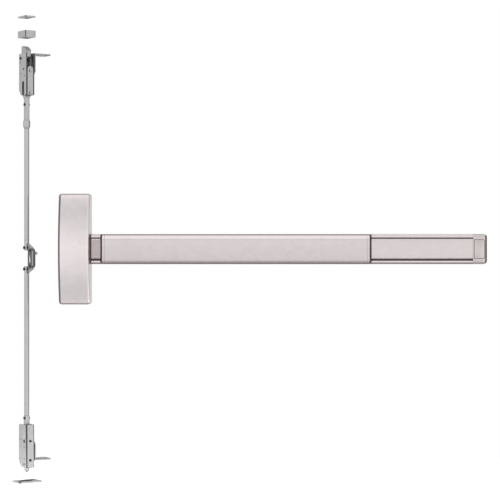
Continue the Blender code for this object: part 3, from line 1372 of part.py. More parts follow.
def build_rod_set():
    rod_set = bpy.data.objects.new("rod_set", None)
    rod_set.location = (ROD_SET_X, ROD_SET_Y, 0)
    rod_set.rotation_euler.z = math.radians(ROD_SET_TURN_DEG)
    bpy.context.scene.collection.objects.link(rod_set)
    top_strike_plate(rod_set)
    top_strike_box(rod_set)
    top_latch_case(rod_set)
    top_latch_cover(rod_set)
    end = latch_half_d - LATCH_WALL + 0.0012
    for name, z in zip(("top_cover_screw_lower", "top_cover_screw_upper"), top_screw_heights()):
        latch_screw(name, z, -latch_half_d, end, rod_set)
    top_latch_bolt(rod_set)
    bolt_pivot_pin(rod_set)
    top_latch_slide(rod_set)
    slide_pins(rod_set)
    flange = top_case_top - BRACKET_SHEET
    l_bracket("top_latch_bracket", top_case_top - TOP_BRACKET_LEG, flange, rod_set)
    top_rod_coupling(rod_set)
    top_rod(rod_set)
    bottom_rod(rod_set)
    rod_cross_pins(rod_set)
    connector_frame(rod_set)
    upper_crank(rod_set)
    lower_crank(rod_set)
    crank_link(rod_set)
    crank_pins(rod_set)
    bottom_latch_case(rod_set)
    bottom_latch_guide(rod_set)
    for name, z in zip(("bottom_case_screw_lower", "bottom_case_screw_upper"), bottom_screw_heights()):
        latch_screw(name, z, -latch_half_d, -BOTTOM_BOLT_RADIUS - 0.001, rod_set)
    bottom_bolt(rod_set)
    tail_pin(rod_set)
    low = bottom_case_bottom + BOTTOM_BRACKET_RISE
    l_bracket("bottom_latch_bracket", low + BOTTOM_BRACKET_LEG, low, rod_set)
    floor_strike(rod_set)


clear_scene()
build_rail()
build_rod_set()
bpy.context.view_layer.update()
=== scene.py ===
import json
import math

import bmesh
import bpy
from mathutils import Matrix, Vector


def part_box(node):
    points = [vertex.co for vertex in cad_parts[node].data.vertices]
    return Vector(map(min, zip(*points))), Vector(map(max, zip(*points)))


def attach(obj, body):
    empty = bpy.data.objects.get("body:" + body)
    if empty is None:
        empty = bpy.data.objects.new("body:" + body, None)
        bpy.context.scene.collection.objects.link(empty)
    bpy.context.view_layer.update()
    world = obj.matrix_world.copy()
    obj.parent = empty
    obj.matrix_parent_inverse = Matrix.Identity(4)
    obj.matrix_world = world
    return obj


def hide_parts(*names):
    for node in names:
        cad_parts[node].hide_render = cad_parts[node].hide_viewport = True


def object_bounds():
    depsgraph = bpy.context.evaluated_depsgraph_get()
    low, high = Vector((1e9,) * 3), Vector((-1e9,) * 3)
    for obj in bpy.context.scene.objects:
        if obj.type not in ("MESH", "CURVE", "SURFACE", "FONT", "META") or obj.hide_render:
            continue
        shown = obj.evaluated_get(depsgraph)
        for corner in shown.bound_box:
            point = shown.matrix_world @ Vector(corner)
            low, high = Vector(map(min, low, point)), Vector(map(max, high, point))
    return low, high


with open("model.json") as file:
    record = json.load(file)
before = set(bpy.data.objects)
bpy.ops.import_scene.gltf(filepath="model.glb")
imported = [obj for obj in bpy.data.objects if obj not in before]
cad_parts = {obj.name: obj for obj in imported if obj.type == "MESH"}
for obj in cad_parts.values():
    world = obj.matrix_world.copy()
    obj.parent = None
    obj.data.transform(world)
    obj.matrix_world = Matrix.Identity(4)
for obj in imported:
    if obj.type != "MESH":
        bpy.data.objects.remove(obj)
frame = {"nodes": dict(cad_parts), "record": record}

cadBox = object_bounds()
print("frame loaded:", len(frame["nodes"]), "nodes")

touch = 1e-6  # metres: places nearer than this count as one
cutMerge = 1e-7  # metres: a cut this near a corner goes through it
endSlack = 1e-4  # metres: how much shorter an edge may be than the length it is looked for by
smoothAngle = 32  # degrees: an edge that turns more stays crisp
onCore = 1e-4  # share of a bend: a corner nearer than this to the core stays where it is
facing = 0.9  # share of a normal: how squarely a face looks along an axis


# small tools used by every piece

def bevelEdges(bm, edges, width, segments):
    return bmesh.ops.bevel(bm, geom=edges, offset=width, offset_type="OFFSET", segments=segments,
                           profile=0.5, affect="EDGES", clamp_overlap=True, material=-1)["faces"]


def bevelWhere(bm, wanted, width, segments):  # rounds the edges whose two ends the test accepts
    edges = [edge for edge in bm.edges if wanted(edge.verts[0].co, edge.verts[1].co)]
    bevelEdges(bm, edges, width, segments)


def isLong(a, b, length):  # the edge between two corners runs along the rail for that length
    return abs(a.x - b.x) > length - endSlack


def sliceAlong(bm, axis, places):  # cuts edge loops across the whole mesh
    for place in places:
        point, normal = Vector(), Vector()
        point[axis], normal[axis] = place, 1
        bmesh.ops.bisect_plane(bm, geom=bm.verts[:] + bm.edges[:] + bm.faces[:], dist=cutMerge,
                               plane_co=point, plane_no=normal)


def bothSides(places):
    return [side * place for place in places for side in (1, -1)]


def curvePlaces(start, bend, turns):  # where the cuts fall that turn round an edge of radius bend
    return [start + bend * math.tan(math.radians(turn)) for turn in turns]


def roundOnto(bm, core, bends):  # draws what stands outside the core to its bend, one radius for each axis
    for vert in bm.verts:
        inside = Vector([max(low, min(high, place)) for place, (low, high) in zip(vert.co, core)])
        away = Vector([gap / bend for gap, bend in zip(vert.co - inside, bends)])
        if away.length > onCore:
            vert.co = inside + Vector([part * bend for part, bend in zip(away.normalized(), bends)])


def blockBetween(bm, low, high):  # a box from one corner to the other
    low, high = Vector(low), Vector(high)
    place = Matrix.Translation((low + high) / 2) @ Matrix.Diagonal((*(high - low), 1))
    bmesh.ops.create_cube(bm, size=1, matrix=place)


def drawOut(bm, grown, reach):  # moves what an extrusion made, by a vector
    bmesh.ops.translate(bm, verts=[part for part in grown if isinstance(part, bmesh.types.BMVert)], vec=reach)
    bmesh.ops.recalc_face_normals(bm, faces=bm.faces)


def pushOut(bm, corners, reach):  # a flat face from a few corners, extruded into a solid
    face = bm.faces.new([bm.verts.new(corner) for corner in corners])
    drawOut(bm, bmesh.ops.extrude_face_region(bm, geom=[face])["geom"], reach)


def pushSkin(bm, corners, reach):  # an open line through a few corners, extruded into a skin
    ends = [bm.verts.new(corner) for corner in corners]
    edges = [bm.edges.new(pair) for pair in zip(ends, ends[1:])]
    drawOut(bm, bmesh.ops.extrude_edge_only(bm, edges=edges)["geom"], reach)


def keepPiece(name, bm, finishNames, body, nodes=(), wall=0.0):
    if wall:  # an open skin becomes a sheet, its outer face where it was
        bm.normal_update()
        bmesh.ops.solidify(bm, geom=bm.faces[:], thickness=wall)
    mesh = bpy.data.meshes.new(name)
    bm.to_mesh(mesh)
    bm.free()
    for finishName in finishNames:
        mesh.materials.append(finishes[finishName])
    mesh.shade_smooth()
    mesh.set_sharp_from_angle(angle=math.radians(smoothAngle))
    piece = bpy.data.objects.new(name, mesh)
    bpy.context.scene.collection.objects.link(piece)
    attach(piece, body)
    if nodes:
        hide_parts(*nodes)


# small tools used by every material

def plug(tree, socket, value):  # another node's output is linked, a plain value is set
    if isinstance(value, bpy.types.NodeSocket):
        tree.links.new(value, socket)
    else:
        socket.default_value = value


def mathNode(tree, operation, *values):
    node = tree.nodes.new("ShaderNodeMath")
    node.operation = operation
    for socket, value in zip(node.inputs, values):
        plug(tree, socket, value)
    return node.outputs[0]


def noiseOf(tree, vector, scale, detail, rough=0.5):
    noise = tree.nodes.new("ShaderNodeTexNoise")
    for label, value in (("Vector", vector), ("Scale", scale), ("Detail", detail), ("Roughness", rough)):
        plug(tree, noise.inputs[label], value)
    return noise.outputs["Fac"]


def spread(tree, value, fromLow, fromHigh, toLow, toHigh):  # maps one range onto another
    span = tree.nodes.new("ShaderNodeMapRange")
    for socket, number in zip(span.inputs[:5], (value, fromLow, fromHigh, toLow, toHigh)):
        plug(tree, socket, number)
    return span.outputs[0]


def mixColours(tree, factor, low, high):
    mix = tree.nodes.new("ShaderNodeMix")
    mix.data_type = "RGBA"
    tree.links.new(factor, mix.inputs[0])
    for socket, colour in zip(mix.inputs[6:8], (low, high)):
        plug(tree, socket, colour if isinstance(colour, bpy.types.NodeSocket) else (*colour, 1))
    return mix.outputs[2]


def splitAxes(tree, vector):
    split = tree.nodes.new("ShaderNodeSeparateXYZ")
    tree.links.new(vector, split.inputs[0])
    return split.outputs


def useGroup(tree, group, values):  # places a shared group with this material's own values
    node = tree.nodes.new("ShaderNodeGroup")
    node.node_tree = group
    for label, value in values.items():
        plug(tree, node.inputs[label], value)
    return node.outputs


# shader node groups

fieldLook = {"grainDetail": 3.0, "grainRough": 0.65, "cloudSize": 75.0, "smudgeSize": 60.0,
             "cloudDetail": 4.0, "cloudRough": 0.6, "blotchDetail": 3.0, "toothDetail": 2.0,
             "flatSide": (0.98, 0.999), "flatShare": 0.3}  # a flat side takes only a share of the painted edge colour


def newGroup(name, inputs, outputs):
    group = bpy.data.node_groups.new(name, "ShaderNodeTree")
    for label, kind, value in inputs:
        socket = group.interface.new_socket(label, in_out="INPUT", socket_type=kind)
        if value is not None:
            socket.default_value = value
    for label, kind in outputs:
        group.interface.new_socket(label, in_out="OUTPUT", socket_type=kind)
    return group, group.nodes.new("NodeGroupInput").outputs, group.nodes.new("NodeGroupOutput").inputs


def makeBrushedField():  # grain of a brushed sheet: Grain Vector arrives already stretched along the grain
    look = fieldLook
    group, given, result = newGroup(
        "brushedField",
        [("Grain Vector", "NodeSocketVector", None), ("Body Vector", "NodeSocketVector", None),
         ("Grain Depth", "NodeSocketFloat", 0.5), ("Cloudiness", "NodeSocketFloat", 0.3)],
        [("Tone", "NodeSocketFloat"), ("Height", "NodeSocketFloat"), ("Smudge", "NodeSocketFloat")],
    )
    fine = noiseOf(group, given["Grain Vector"], 1.0, look["grainDetail"], look["grainRough"])
    broad, smudge = (noiseOf(group, given["Body Vector"], size, look["cloudDetail"], look["cloudRough"])
                     for size in (look["cloudSize"], look["smudgeSize"]))
    tone = mathNode(group, "ADD", mathNode(group, "MULTIPLY", fine, given["Grain Depth"]),
                    mathNode(group, "MULTIPLY", broad, given["Cloudiness"]))
    for label, value in (("Tone", tone), ("Height", fine), ("Smudge", smudge)):
        group.links.new(value, result[label])
    return group


def makePlatedField():  # soft blotches of a plated or rolled sheet, and its fine tooth
    group, given, result = newGroup(
        "platedField",
        [("Body Vector", "NodeSocketVector", None), ("Blotch Size", "NodeSocketFloat", 160.0),
         ("Tooth Size", "NodeSocketFloat", 2600.0)],
        [("Tone", "NodeSocketFloat"), ("Height", "NodeSocketFloat")],
    )
    for label, size, detail in (("Tone", "Blotch Size", fieldLook["blotchDetail"]),
                                ("Height", "Tooth Size", fieldLook["toothDetail"])):
        group.links.new(noiseOf(group, given["Body Vector"], given[size], detail), result[label])
    return group


def makeEdgePaintedLight():  # how far a surface turns to each side: the mask for painted shade on the rounded edges, and on the infills for a painted highlight
    group, given, result = newGroup(
        "edgePaintedLight",
        [("Body Normal", "NodeSocketVector", None), ("Left", "NodeSocketFloat", 0.0),
         ("Right", "NodeSocketFloat", 0.0), ("Top", "NodeSocketFloat", 0.0),
         ("Bottom", "NodeSocketFloat", 0.0), ("Turn Start", "NodeSocketFloat", 0.6),
         ("Turn End", "NodeSocketFloat", 0.9)],
        [("Mask", "NodeSocketFloat")],
    )
    axes = splitAxes(group, given["Body Normal"])
    total = 0.0
    for label, axis, sign in (("Left", "X", -1), ("Right", "X", 1), ("Top", "Z", 1), ("Bottom", "Z", -1)):
        toward = mathNode(group, "MULTIPLY", axes[axis], sign)
        turned = spread(group, toward, given["Turn Start"], given["Turn End"], 0, 1)
        rounded = spread(group, toward, *fieldLook["flatSide"], 1, fieldLook["flatShare"])
        share = mathNode(group, "MULTIPLY", mathNode(group, "MULTIPLY", turned, rounded), given[label])
        total = mathNode(group, "MAXIMUM", share, total)
    group.links.new(total, result["Mask"])
    return group


brushedField = makeBrushedField()
edgePaintedLight = makeEdgePaintedLight()
platedField = makePlatedField()


# finishes

noiseMiddle = (0.3, 0.7)  # the part of a noise's range that is seen
toneReach = 0.16  # the same for two noises added together, to each side of their middle
paintedLeanReach = 0.022  # metres: how far above and below the middle of the rail the painted light's change in tone goes
bumpDepth = {"brushed": 0.00012, "plated": 0.0001}


def startFinish(name):
    finish = bpy.data.materials.new(name)
    finish.use_nodes = True
    return finish, finish.node_tree


def bodyVector(tree, kind):  # the place on the piece or its normal there, both fixed to the piece
    return tree.nodes.new("ShaderNodeTexCoord").outputs[kind]


def setSurface(tree, look, colour, rough, height, depth):
    shader = tree.nodes["Principled BSDF"]
    bump = tree.nodes.new("ShaderNodeBump")
    bump.inputs["Strength"].default_value = look["bump"]
    bump.inputs["Distance"].default_value = depth
    tree.links.new(height, bump.inputs["Height"])
    for label, value in (("Base Color", colour), ("Roughness", rough), ("Metallic", look["metallic"]),
                         ("Normal", bump.outputs["Normal"])):
        plug(tree, shader.inputs[label], value)


def alongEdges(tree, metal, shares, turn, colour):  # mixes in painted edge light where the metal turns to a side: a dark colour for painted shade, a pale one for a painted highlight
    values = dict(zip(("Left", "Right", "Top", "Bottom", "Turn Start", "Turn End"), (*shares, *turn)))
    values["Body Normal"] = bodyVector(tree, "Normal")
    return mixColours(tree, useGroup(tree, edgePaintedLight, values)["Mask"], metal, colour)


def brushedFinish(name, look):
    finish, tree = startFinish(name)
    place = bodyVector(tree, "Object")
    stretch = tree.nodes.new("ShaderNodeMapping")
    stretch.inputs["Scale"].default_value = look["grain"]
    tree.links.new(place, stretch.inputs["Vector"])
    field = useGroup(tree, brushedField, {
        "Grain Vector": stretch.outputs["Vector"], "Body Vector": place,
        "Grain Depth": look["grainDepth"], "Cloudiness": look["cloudiness"]})
    middle = (look["grainDepth"] + look["cloudiness"]) / 2
    tone = spread(tree, field["Tone"], middle - toneReach, middle + toneReach, 0, 1)
    if "paintedLean" in look:  # painted light: a little lighter towards the upper edge, as if lit from above
        height = splitAxes(tree, place)["Z"]
        tone = mathNode(tree, "ADD", tone, spread(tree, height, -paintedLeanReach, paintedLeanReach, *look["paintedLean"]))
    metal = mixColours(tree, tone, look["dark"], look["light"])
    # painted shade, and on the infills a painted highlight, along the rounded edges
    for shares, turn, colour in look["edges"]:
        metal = alongEdges(tree, metal, shares, turn, colour)
    rough = spread(tree, field["Smudge"], *noiseMiddle, *look["roughness"])
    setSurface(tree, look, metal, rough, field["Height"], bumpDepth["brushed"])
    return finish


def platedFinish(name, look):
    finish, tree = startFinish(name)
    field = useGroup(tree, platedField, {"Blotch Size": look["blotch"], "Tooth Size": look["tooth"],
                                         "Body Vector": bodyVector(tree, "Object")})
    colour = mixColours(tree, spread(tree, field["Tone"], *noiseMiddle, 0, 1), look["dark"], look["light"])
    rough = spread(tree, field["Tone"], *noiseMiddle, *look["roughness"])
    setSurface(tree, look, colour, rough, field["Height"], bumpDepth["plated"])
    return finish


alongRail = (45, 900, 1500)
acrossCase = (70, 900, 1300)
upRod = (1500, 1500, 25)
# the colour of painted shade on rounded edges that turn away from the light
paintedEdgeShadeColour = (0.085, 0.052, 0.055)
# the colour of a painted highlight on the infills' upper edge
paintedEdgeHighlightColour = (0.93, 0.90, 0.90)
# edges: painted shade on the rounded edges, and on the infills a painted highlight: the shares to the left,
# right, top and bottom, from which turn to which they grow, and the colour
brushedLooks = {
    "caseSatin": {"dark": (0.685, 0.625, 0.63), "light": (0.785, 0.73, 0.73), "roughness": (0.27, 0.34),
                  "metallic": 1.0, "grain": acrossCase, "grainDepth": 0.5, "cloudiness": 0.25, "bump": 0.10,
                  "edges": (((0.85, 0, 0, 0), (0.12, 0.34), paintedEdgeShadeColour),
                            ((0, 0.3, 0, 0), (0.8, 1.0), paintedEdgeShadeColour),
                            ((0, 0, 0.42, 0.72), (0.46, 0.66), paintedEdgeShadeColour))},
    "barSatin": {"dark": (0.56, 0.505, 0.51), "light": (0.66, 0.605, 0.61), "roughness": (0.27, 0.34),
                 "metallic": 1.0, "grain": alongRail, "grainDepth": 0.5, "cloudiness": 0.25, "bump": 0.10,
                 "paintedLean": (-0.35, 0.35), "edges": (((0, 0, 0, 0.9), (0.40, 0.62), paintedEdgeShadeColour),
                                                  ((0, 0, 0.45, 0), (0.53, 0.70), paintedEdgeShadeColour))},
    "housingSatin": {"dark": (0.64, 0.58, 0.585), "light": (0.72, 0.66, 0.665), "roughness": (0.28, 0.36),
                     "metallic": 1.0, "grain": alongRail, "grainDepth": 0.4, "cloudiness": 0.25, "bump": 0.08,
                     "edges": (((0, 0, 0.3, 0), (0.5, 0.85), paintedEdgeShadeColour),
                               ((0, 0, 0, 0.8), (0.12, 0.4), paintedEdgeShadeColour))},
    "capSatin": {"dark": (0.54, 0.485, 0.485), "light": (0.61, 0.555, 0.555), "roughness": (0.28, 0.36),
                 "metallic": 1.0, "grain": alongRail, "grainDepth": 0.4, "cloudiness": 0.25, "bump": 0.08,
                 "edges": (((0, 0.95, 0, 0), (0.30, 0.58), paintedEdgeShadeColour),
                           ((0, 0, 0.2, 0.65), (0.40, 0.65), paintedEdgeShadeColour))},
    "infillSatin": {"dark": (0.585, 0.53, 0.533), "light": (0.685, 0.625, 0.63), "roughness": (0.28, 0.36),
                    "metallic": 1.0, "grain": alongRail, "grainDepth": 0.5, "cloudiness": 0.25, "bump": 0.10,
                    "edges": (((0, 0, 0.6, 0), (0.3, 0.6), paintedEdgeHighlightColour),)},
    "stubSatin": {"dark": (0.42, 0.365, 0.365), "light": (0.50, 0.435, 0.435), "roughness": (0.28, 0.36),
                  "metallic": 1.0, "grain": alongRail, "grainDepth": 0.5, "cloudiness": 0.25, "bump": 0.10,
                  "edges": (((0, 0, 1, 0), (0.1, 0.4), paintedEdgeHighlightColour),)},
    "drawnRod": {"dark": (0.435, 0.435, 0.435), "light": (0.505, 0.505, 0.507), "roughness": (0.30, 0.40),
                 "metallic": 1.0, "grain": upRod, "grainDepth": 0.4, "cloudiness": 0.25, "bump": 0.08,
                 "edges": (((0.1, 0.5, 0, 0), (0.6, 0.9), paintedEdgeShadeColour),)},
}
platedLooks = {
    "zincSheet": {"dark": (0.43, 0.43, 0.43), "light": (0.49, 0.49, 0.492), "roughness": (0.34, 0.46),
                  "metallic": 1.0, "blotch": 240, "tooth": 2600, "bump": 0.06},
    "zincCast": {"dark": (0.41, 0.41, 0.41), "light": (0.48, 0.48, 0.48), "roughness": (0.40, 0.52),
                 "metallic": 1.0, "blotch": 260, "tooth": 1800, "bump": 0.12},
    "darkCast": {"dark": (0.13, 0.13, 0.13), "light": (0.19, 0.19, 0.19), "roughness": (0.40, 0.52),
                 "metallic": 1.0, "blotch": 300, "tooth": 1800, "bump": 0.10},
    "shearedEdge": {"dark": (0.05, 0.05, 0.05), "light": (0.10, 0.10, 0.10), "roughness": (0.45, 0.6),
                    "metallic": 0.8, "blotch": 400, "tooth": 3000, "bump": 0.05},
    "stripShade": {"dark": (0.14, 0.092, 0.094), "light": (0.18, 0.12, 0.122), "roughness": (0.5, 0.65),
                   "metallic": 1.0, "blotch": 220, "tooth": 2200, "bump": 0.05},
    "grooveShade": {"dark": (0.11, 0.072, 0.074), "light": (0.17, 0.12, 0.122), "roughness": (0.5, 0.65),
                    "metallic": 0.6, "blotch": 200, "tooth": 2600, "bump": 0.05},
    "blackPin": {"dark": (0.035, 0.035, 0.036), "light": (0.08, 0.08, 0.082), "roughness": (0.35, 0.5),
                 "metallic": 0.9, "blotch": 400, "tooth": 3000, "bump": 0.06},
    # a dark channel finish: its own dark colour, and also painted shade in the joints it shows through
    "blackSheetGapShade": {"dark": (0.15, 0.10, 0.105), "light": (0.22, 0.155, 0.16), "roughness": (0.45, 0.6),
                   "metallic": 0.6, "blotch": 200, "tooth": 2600, "bump": 0.08},
    "castLever": {"dark": (0.30, 0.30, 0.30), "light": (0.42, 0.42, 0.415), "roughness": (0.5, 0.65),
                  "metallic": 0.95, "blotch": 260, "tooth": 1500, "bump": 0.35},
    "springWire": {"dark": (0.24, 0.24, 0.25), "light": (0.36, 0.36, 0.37), "roughness": (0.28, 0.36),
                   "metallic": 1.0, "blotch": 500, "tooth": 3000, "bump": 0.05},
}
finishes = {name: brushedFinish(name, look) for name, look in brushedLooks.items()}
finishes.update({name: platedFinish(name, look) for name, look in platedLooks.items()})
print("finishes ready:", len(finishes))


# lock case cover

caseLook = {"width": 0.057, "height": 0.203, "endDepth": 0.040, "midDepth": 0.062, "wall": 0.0022,
            "round": 0.0052, "roundTurns": (0, 9, 18, 27, 36), "rows": 40,
            "windowHalf": 0.020, "windowDepth": 0.0117}  # the window lets the rail in


def buildCaseCover():
    look = caseLook
    halfWidth, halfHeight = look["width"] / 2, look["height"] / 2
    endDepth, bend, windowDepth = look["endDepth"], look["round"], look["windowDepth"]
    coreX, coreY, coreZ = halfWidth - bend, endDepth - bend, halfHeight - bend
    bm = bmesh.new()
    blockBetween(bm, (-halfWidth, -endDepth, -halfHeight), (halfWidth, 0, halfHeight))
    back = [face for face in bm.faces if face.calc_center_median().y > -touch]
    bmesh.ops.delete(bm, geom=back, context="FACES_ONLY")
    across, deep, up = (curvePlaces(core, bend, look["roundTurns"]) for core in (coreX, coreY, coreZ))
    rows = [coreZ * (2 * i / look["rows"] - 1) for i in range(1, look["rows"])]
    sliceAlong(bm, 0, bothSides(across))
    sliceAlong(bm, 1, [-place for place in deep] + [-windowDepth])
    sliceAlong(bm, 2, bothSides(up) + rows + bothSides([look["windowHalf"]]))
    middles = {face: face.calc_center_median() for face in bm.faces}
    window = [face for face, middle in middles.items() if middle.x > halfWidth - touch
              and abs(middle.z) < look["windowHalf"] and middle.y > -windowDepth]
    bmesh.ops.delete(bm, geom=window, context="FACES")
    roundOnto(bm, ((-coreX, coreX), (-coreY, math.inf), (-coreZ, coreZ)), (bend, bend, bend))
    rise = look["midDepth"] - endDepth
    radius = (halfHeight ** 2 + rise ** 2) / (2 * rise)
    for vert in bm.verts:  # the front bows from end to end
        share = min(1, max(0, (-vert.co.y - windowDepth) / (coreY - windowDepth)))
        vert.co.y -= share * (rise - radius + math.sqrt(radius ** 2 - vert.co.z ** 2))
    keepPiece("caseCover", bm, ["caseSatin"], "fixed_parts", ["case_cover"], look["wall"])


buildCaseCover()
print("case cover built")


# push bar and its end pieces

barLook = {"start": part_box("bar_end_cap_left")[0][0], "end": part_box("bar_end_cap_right")[1][0],
           "capLength": 0.0040, "gap": 0.0003, "front": -0.060, "back": -0.028,
           "half": 0.0275, "wall": 0.0024,
           "upper": (0.0178, 0.0056), "lower": (0.0222, 0.0032),  # where the flat ends, and the slope's fall
           "edge": (0.0048, 0.0022), "edgeSteps": 6, "shoulder": 0.0008, "shoulderSteps": 4,
           "crown": 0.0003, "web": 0.007, "rows": 12}


def barCorners(look):  # (y, z) from the upper back edge round the front to the lower back edge
    half, front, back = look["half"], look["front"], look["back"]
    (topFlat, topSlope), (lowFlat, lowSlope) = look["upper"], look["lower"]
    return [(back, half), (front + topSlope, half), (front, topFlat),
            (front, -lowFlat), (front + lowSlope, -half), (back, -half)]


def easeBar(bm, look, length):  # rounds the outer edges, and softens where the front starts to slope
    front, slopeBack = look["front"], look["front"] + look["upper"][1]
    for side, bend in zip((1, -1), look["edge"]):
        bevelWhere(bm, lambda a, b: isLong(a, b, length) and side * a.z > look["half"] - touch
                   and a.y < slopeBack + touch, bend, look["edgeSteps"])
    bevelWhere(bm, lambda a, b: isLong(a, b, length) and a.y < front + touch,
               look["shoulder"], look["shoulderSteps"])
    bottom, top = look["shoulder"] - look["lower"][0], look["upper"][0] - look["shoulder"]
    sliceAlong(bm, 2, [bottom + (top - bottom) * i / look["rows"] for i in range(1, look["rows"])])
    for vert in bm.verts:  # the flat of the bar swells a little towards its middle
        if vert.co.y < front + touch:
            vert.co.y += look["crown"] * (vert.co.z / look["half"]) ** 2


def buildPushBar():
    look = barLook
    inset = look["capLength"] + look["gap"]
    start, length = look["start"] + inset, look["end"] - look["start"] - 2 * inset
    bm = bmesh.new()
    pushSkin(bm, [(start, y, z) for y, z in barCorners(look)], (length, 0, 0))
    easeBar(bm, look, length)
    keepPiece("pushBar", bm, ["barSatin"], "bar", ["push_bar"], look["wall"])


def buildBarEnd(name, node, start):
    look = barLook
    back, webBack, inner = look["back"], look["front"] + look["web"], look["half"] - look["wall"]
    inside = [(back, -inner), (webBack, -inner), (webBack, inner), (back, inner)]
    bm = bmesh.new()
    pushOut(bm, [(start, y, z) for y, z in barCorners(look) + inside], (look["capLength"], 0, 0))
    easeBar(bm, look, look["capLength"])
    keepPiece(name, bm, ["barSatin"], "bar", [node])


buildPushBar()
buildBarEnd("barEndLeft", "bar_end_cap_left", barLook["start"])
buildBarEnd("barEndRight", "bar_end_cap_right", barLook["end"] - barLook["capLength"])
print("push bar built")


# rail housings and their infill plates

stubBox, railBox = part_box("left_rail_housing"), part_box("right_rail_housing")
jointGap = {"stubStart": 0.0009, "stubEnd": 0.0008, "railStart": 0.0009}  # metres short of their solids
railLook = {"stub": (stubBox[0][0] + jointGap["stubStart"], stubBox[1][0] - jointGap["stubEnd"]),
            "rail": (railBox[0][0] + jointGap["railStart"], railBox[1][0]),
            "top": 0.0275, "track": 0.0243, "lip": 0.0212, "lipDrop": 0.0006,
            "front": -0.046, "lipBack": -0.0435, "web": -0.0363, "webFront": -0.0383,
            "edge": 0.0037, "edgeSteps": 6, "lipEdge": 0.0008, "lipSteps": 3}
infillLook = {"brimBack": -0.0386, "brimFront": -0.0406, "face": -0.0456, "brim": 0.0240, "half": 0.018,
              "lift": 0.0013, "wall": 0.002, "edge": 0.0021, "edgeSteps": 5, "grooveStart": -0.0434}


def pushMirrored(bm, upper, span):  # extrudes (y, z) corners above the middle and the same below it
    start, end = span
    corners = upper + [(y, -z) for y, z in reversed(upper)]
    pushOut(bm, [(start, y, z) for y, z in corners], (end - start, 0, 0))


def raiseRow(bm, height, step):  # moves the corners that lie at one height above the middle
    for vert in bm.verts:
        if abs(vert.co.z - height) < touch:
            vert.co.z += step


def buildHousing(name, node, span):
    look = railLook
    length, frontEdge = span[1] - span[0], look["front"] + touch
    upper = [(look["web"], look["track"]), (0, look["track"]), (0, look["top"]), (look["front"], look["top"]),
             (look["front"], look["lip"]), (look["lipBack"], look["lip"]), (look["lipBack"], look["track"]),
             (look["webFront"], look["track"])]
    bm = bmesh.new()
    pushMirrored(bm, upper, span)
    raiseRow(bm, look["lip"], -look["lipDrop"])  # the upper lip is the deeper one
    bevelWhere(bm, lambda a, b: isLong(a, b, length) and a.y < frontEdge and abs(a.z) > look["top"] - touch,
               look["edge"], look["edgeSteps"])
    bevelWhere(bm, lambda a, b: isLong(a, b, length) and a.y < frontEdge and abs(a.z) < look["lip"] + touch,
               look["lipEdge"], look["lipSteps"])
    keepPiece(name, bm, ["housingSatin"], "fixed_parts", [node])


def buildInfill(name, node, span, finishName):
    look = infillLook
    length, inner = span[1] - span[0], look["half"] - look["wall"]
    upper = [(look["face"] + look["wall"], inner), (look["brimBack"], inner),
             (look["brimBack"], look["brim"]), (look["brimFront"], look["brim"]),
             (look["brimFront"], look["half"]), (look["face"], look["half"])]
    bm = bmesh.new()
    pushMirrored(bm, upper, span)
    raiseRow(bm, look["half"], look["lift"])  # the upper groove is the narrower one
    bevelWhere(bm, lambda a, b: isLong(a, b, length) and a.y < look["face"] + touch,
               look["edge"], look["edgeSteps"])
    sliceAlong(bm, 1, [look["grooveStart"]])
    for face in bm.faces:  # the sunk brim is dark
        if face.calc_center_median().y > look["grooveStart"]:
            face.material_index = 1
    keepPiece(name, bm, [finishName, "grooveShade"], "fixed_parts", [node])


buildHousing("stubHousing", "left_rail_housing", railLook["stub"])
buildHousing("railHousing", "right_rail_housing", railLook["rail"])
buildInfill("stubInfill", "left_filler_plate", railLook["stub"], "stubSatin")
buildInfill("railInfill", "rail_cover_plate", railLook["rail"], "infillSatin")
print("rail housings built")


# end cap, the panel in the front of it, and a dark plate round the panel as painted shade of its gap

capLook = {"start": 0.7279, "end": 0.7541, "front": -0.046, "half": 0.0275, "wall": 0.0028,
           "bends": (0.0075, 0.0075, 0.0055), "roundTurns": (0, 9, 18, 27, 36)}
panelLook = {"start": 0.7304, "end": 0.7484, "half": 0.017, "sunk": 0.0015, "cornerSteps": 5, "rimSteps": 2}
plateLooks = {
    # a dark plate a little wider than the panel, lying under it: painted shade of the gap round the panel
    "endCapGapShade": {"finish": "grooveShade", "margin": 0.0008, "rise": 0.0001, "corner": 0.0035, "rim": 0},
    "endCapPanel": {"finish": "capSatin", "margin": 0, "rise": 0.0005, "corner": 0.003, "rim": 0.0004},
}


def buildEndCap():
    look = capLook
    half, front, start, end = look["half"], look["front"], look["start"], look["end"]
    turns = look["roundTurns"]
    bends = Vector(look["bends"])
    core = Vector((end - bends.x, front + bends.y, half - bends.z))
    bm = bmesh.new()
    blockBetween(bm, (start, front, -half), (end, 0, half))
    openSides = [face for face in bm.faces if face.normal.y > facing or face.normal.x < -facing]
    bmesh.ops.delete(bm, geom=openSides, context="FACES")
    sliceAlong(bm, 0, curvePlaces(core.x, bends.x, turns))
    sliceAlong(bm, 1, curvePlaces(core.y, -bends.y, turns))
    sliceAlong(bm, 2, bothSides(curvePlaces(core.z, bends.z, turns)))
    roundOnto(bm, ((-math.inf, core.x), (core.y, math.inf), (-core.z, core.z)), bends)
    keepPiece("endCap", bm, ["capSatin"], "fixed_parts", ["end_cap"], look["wall"])


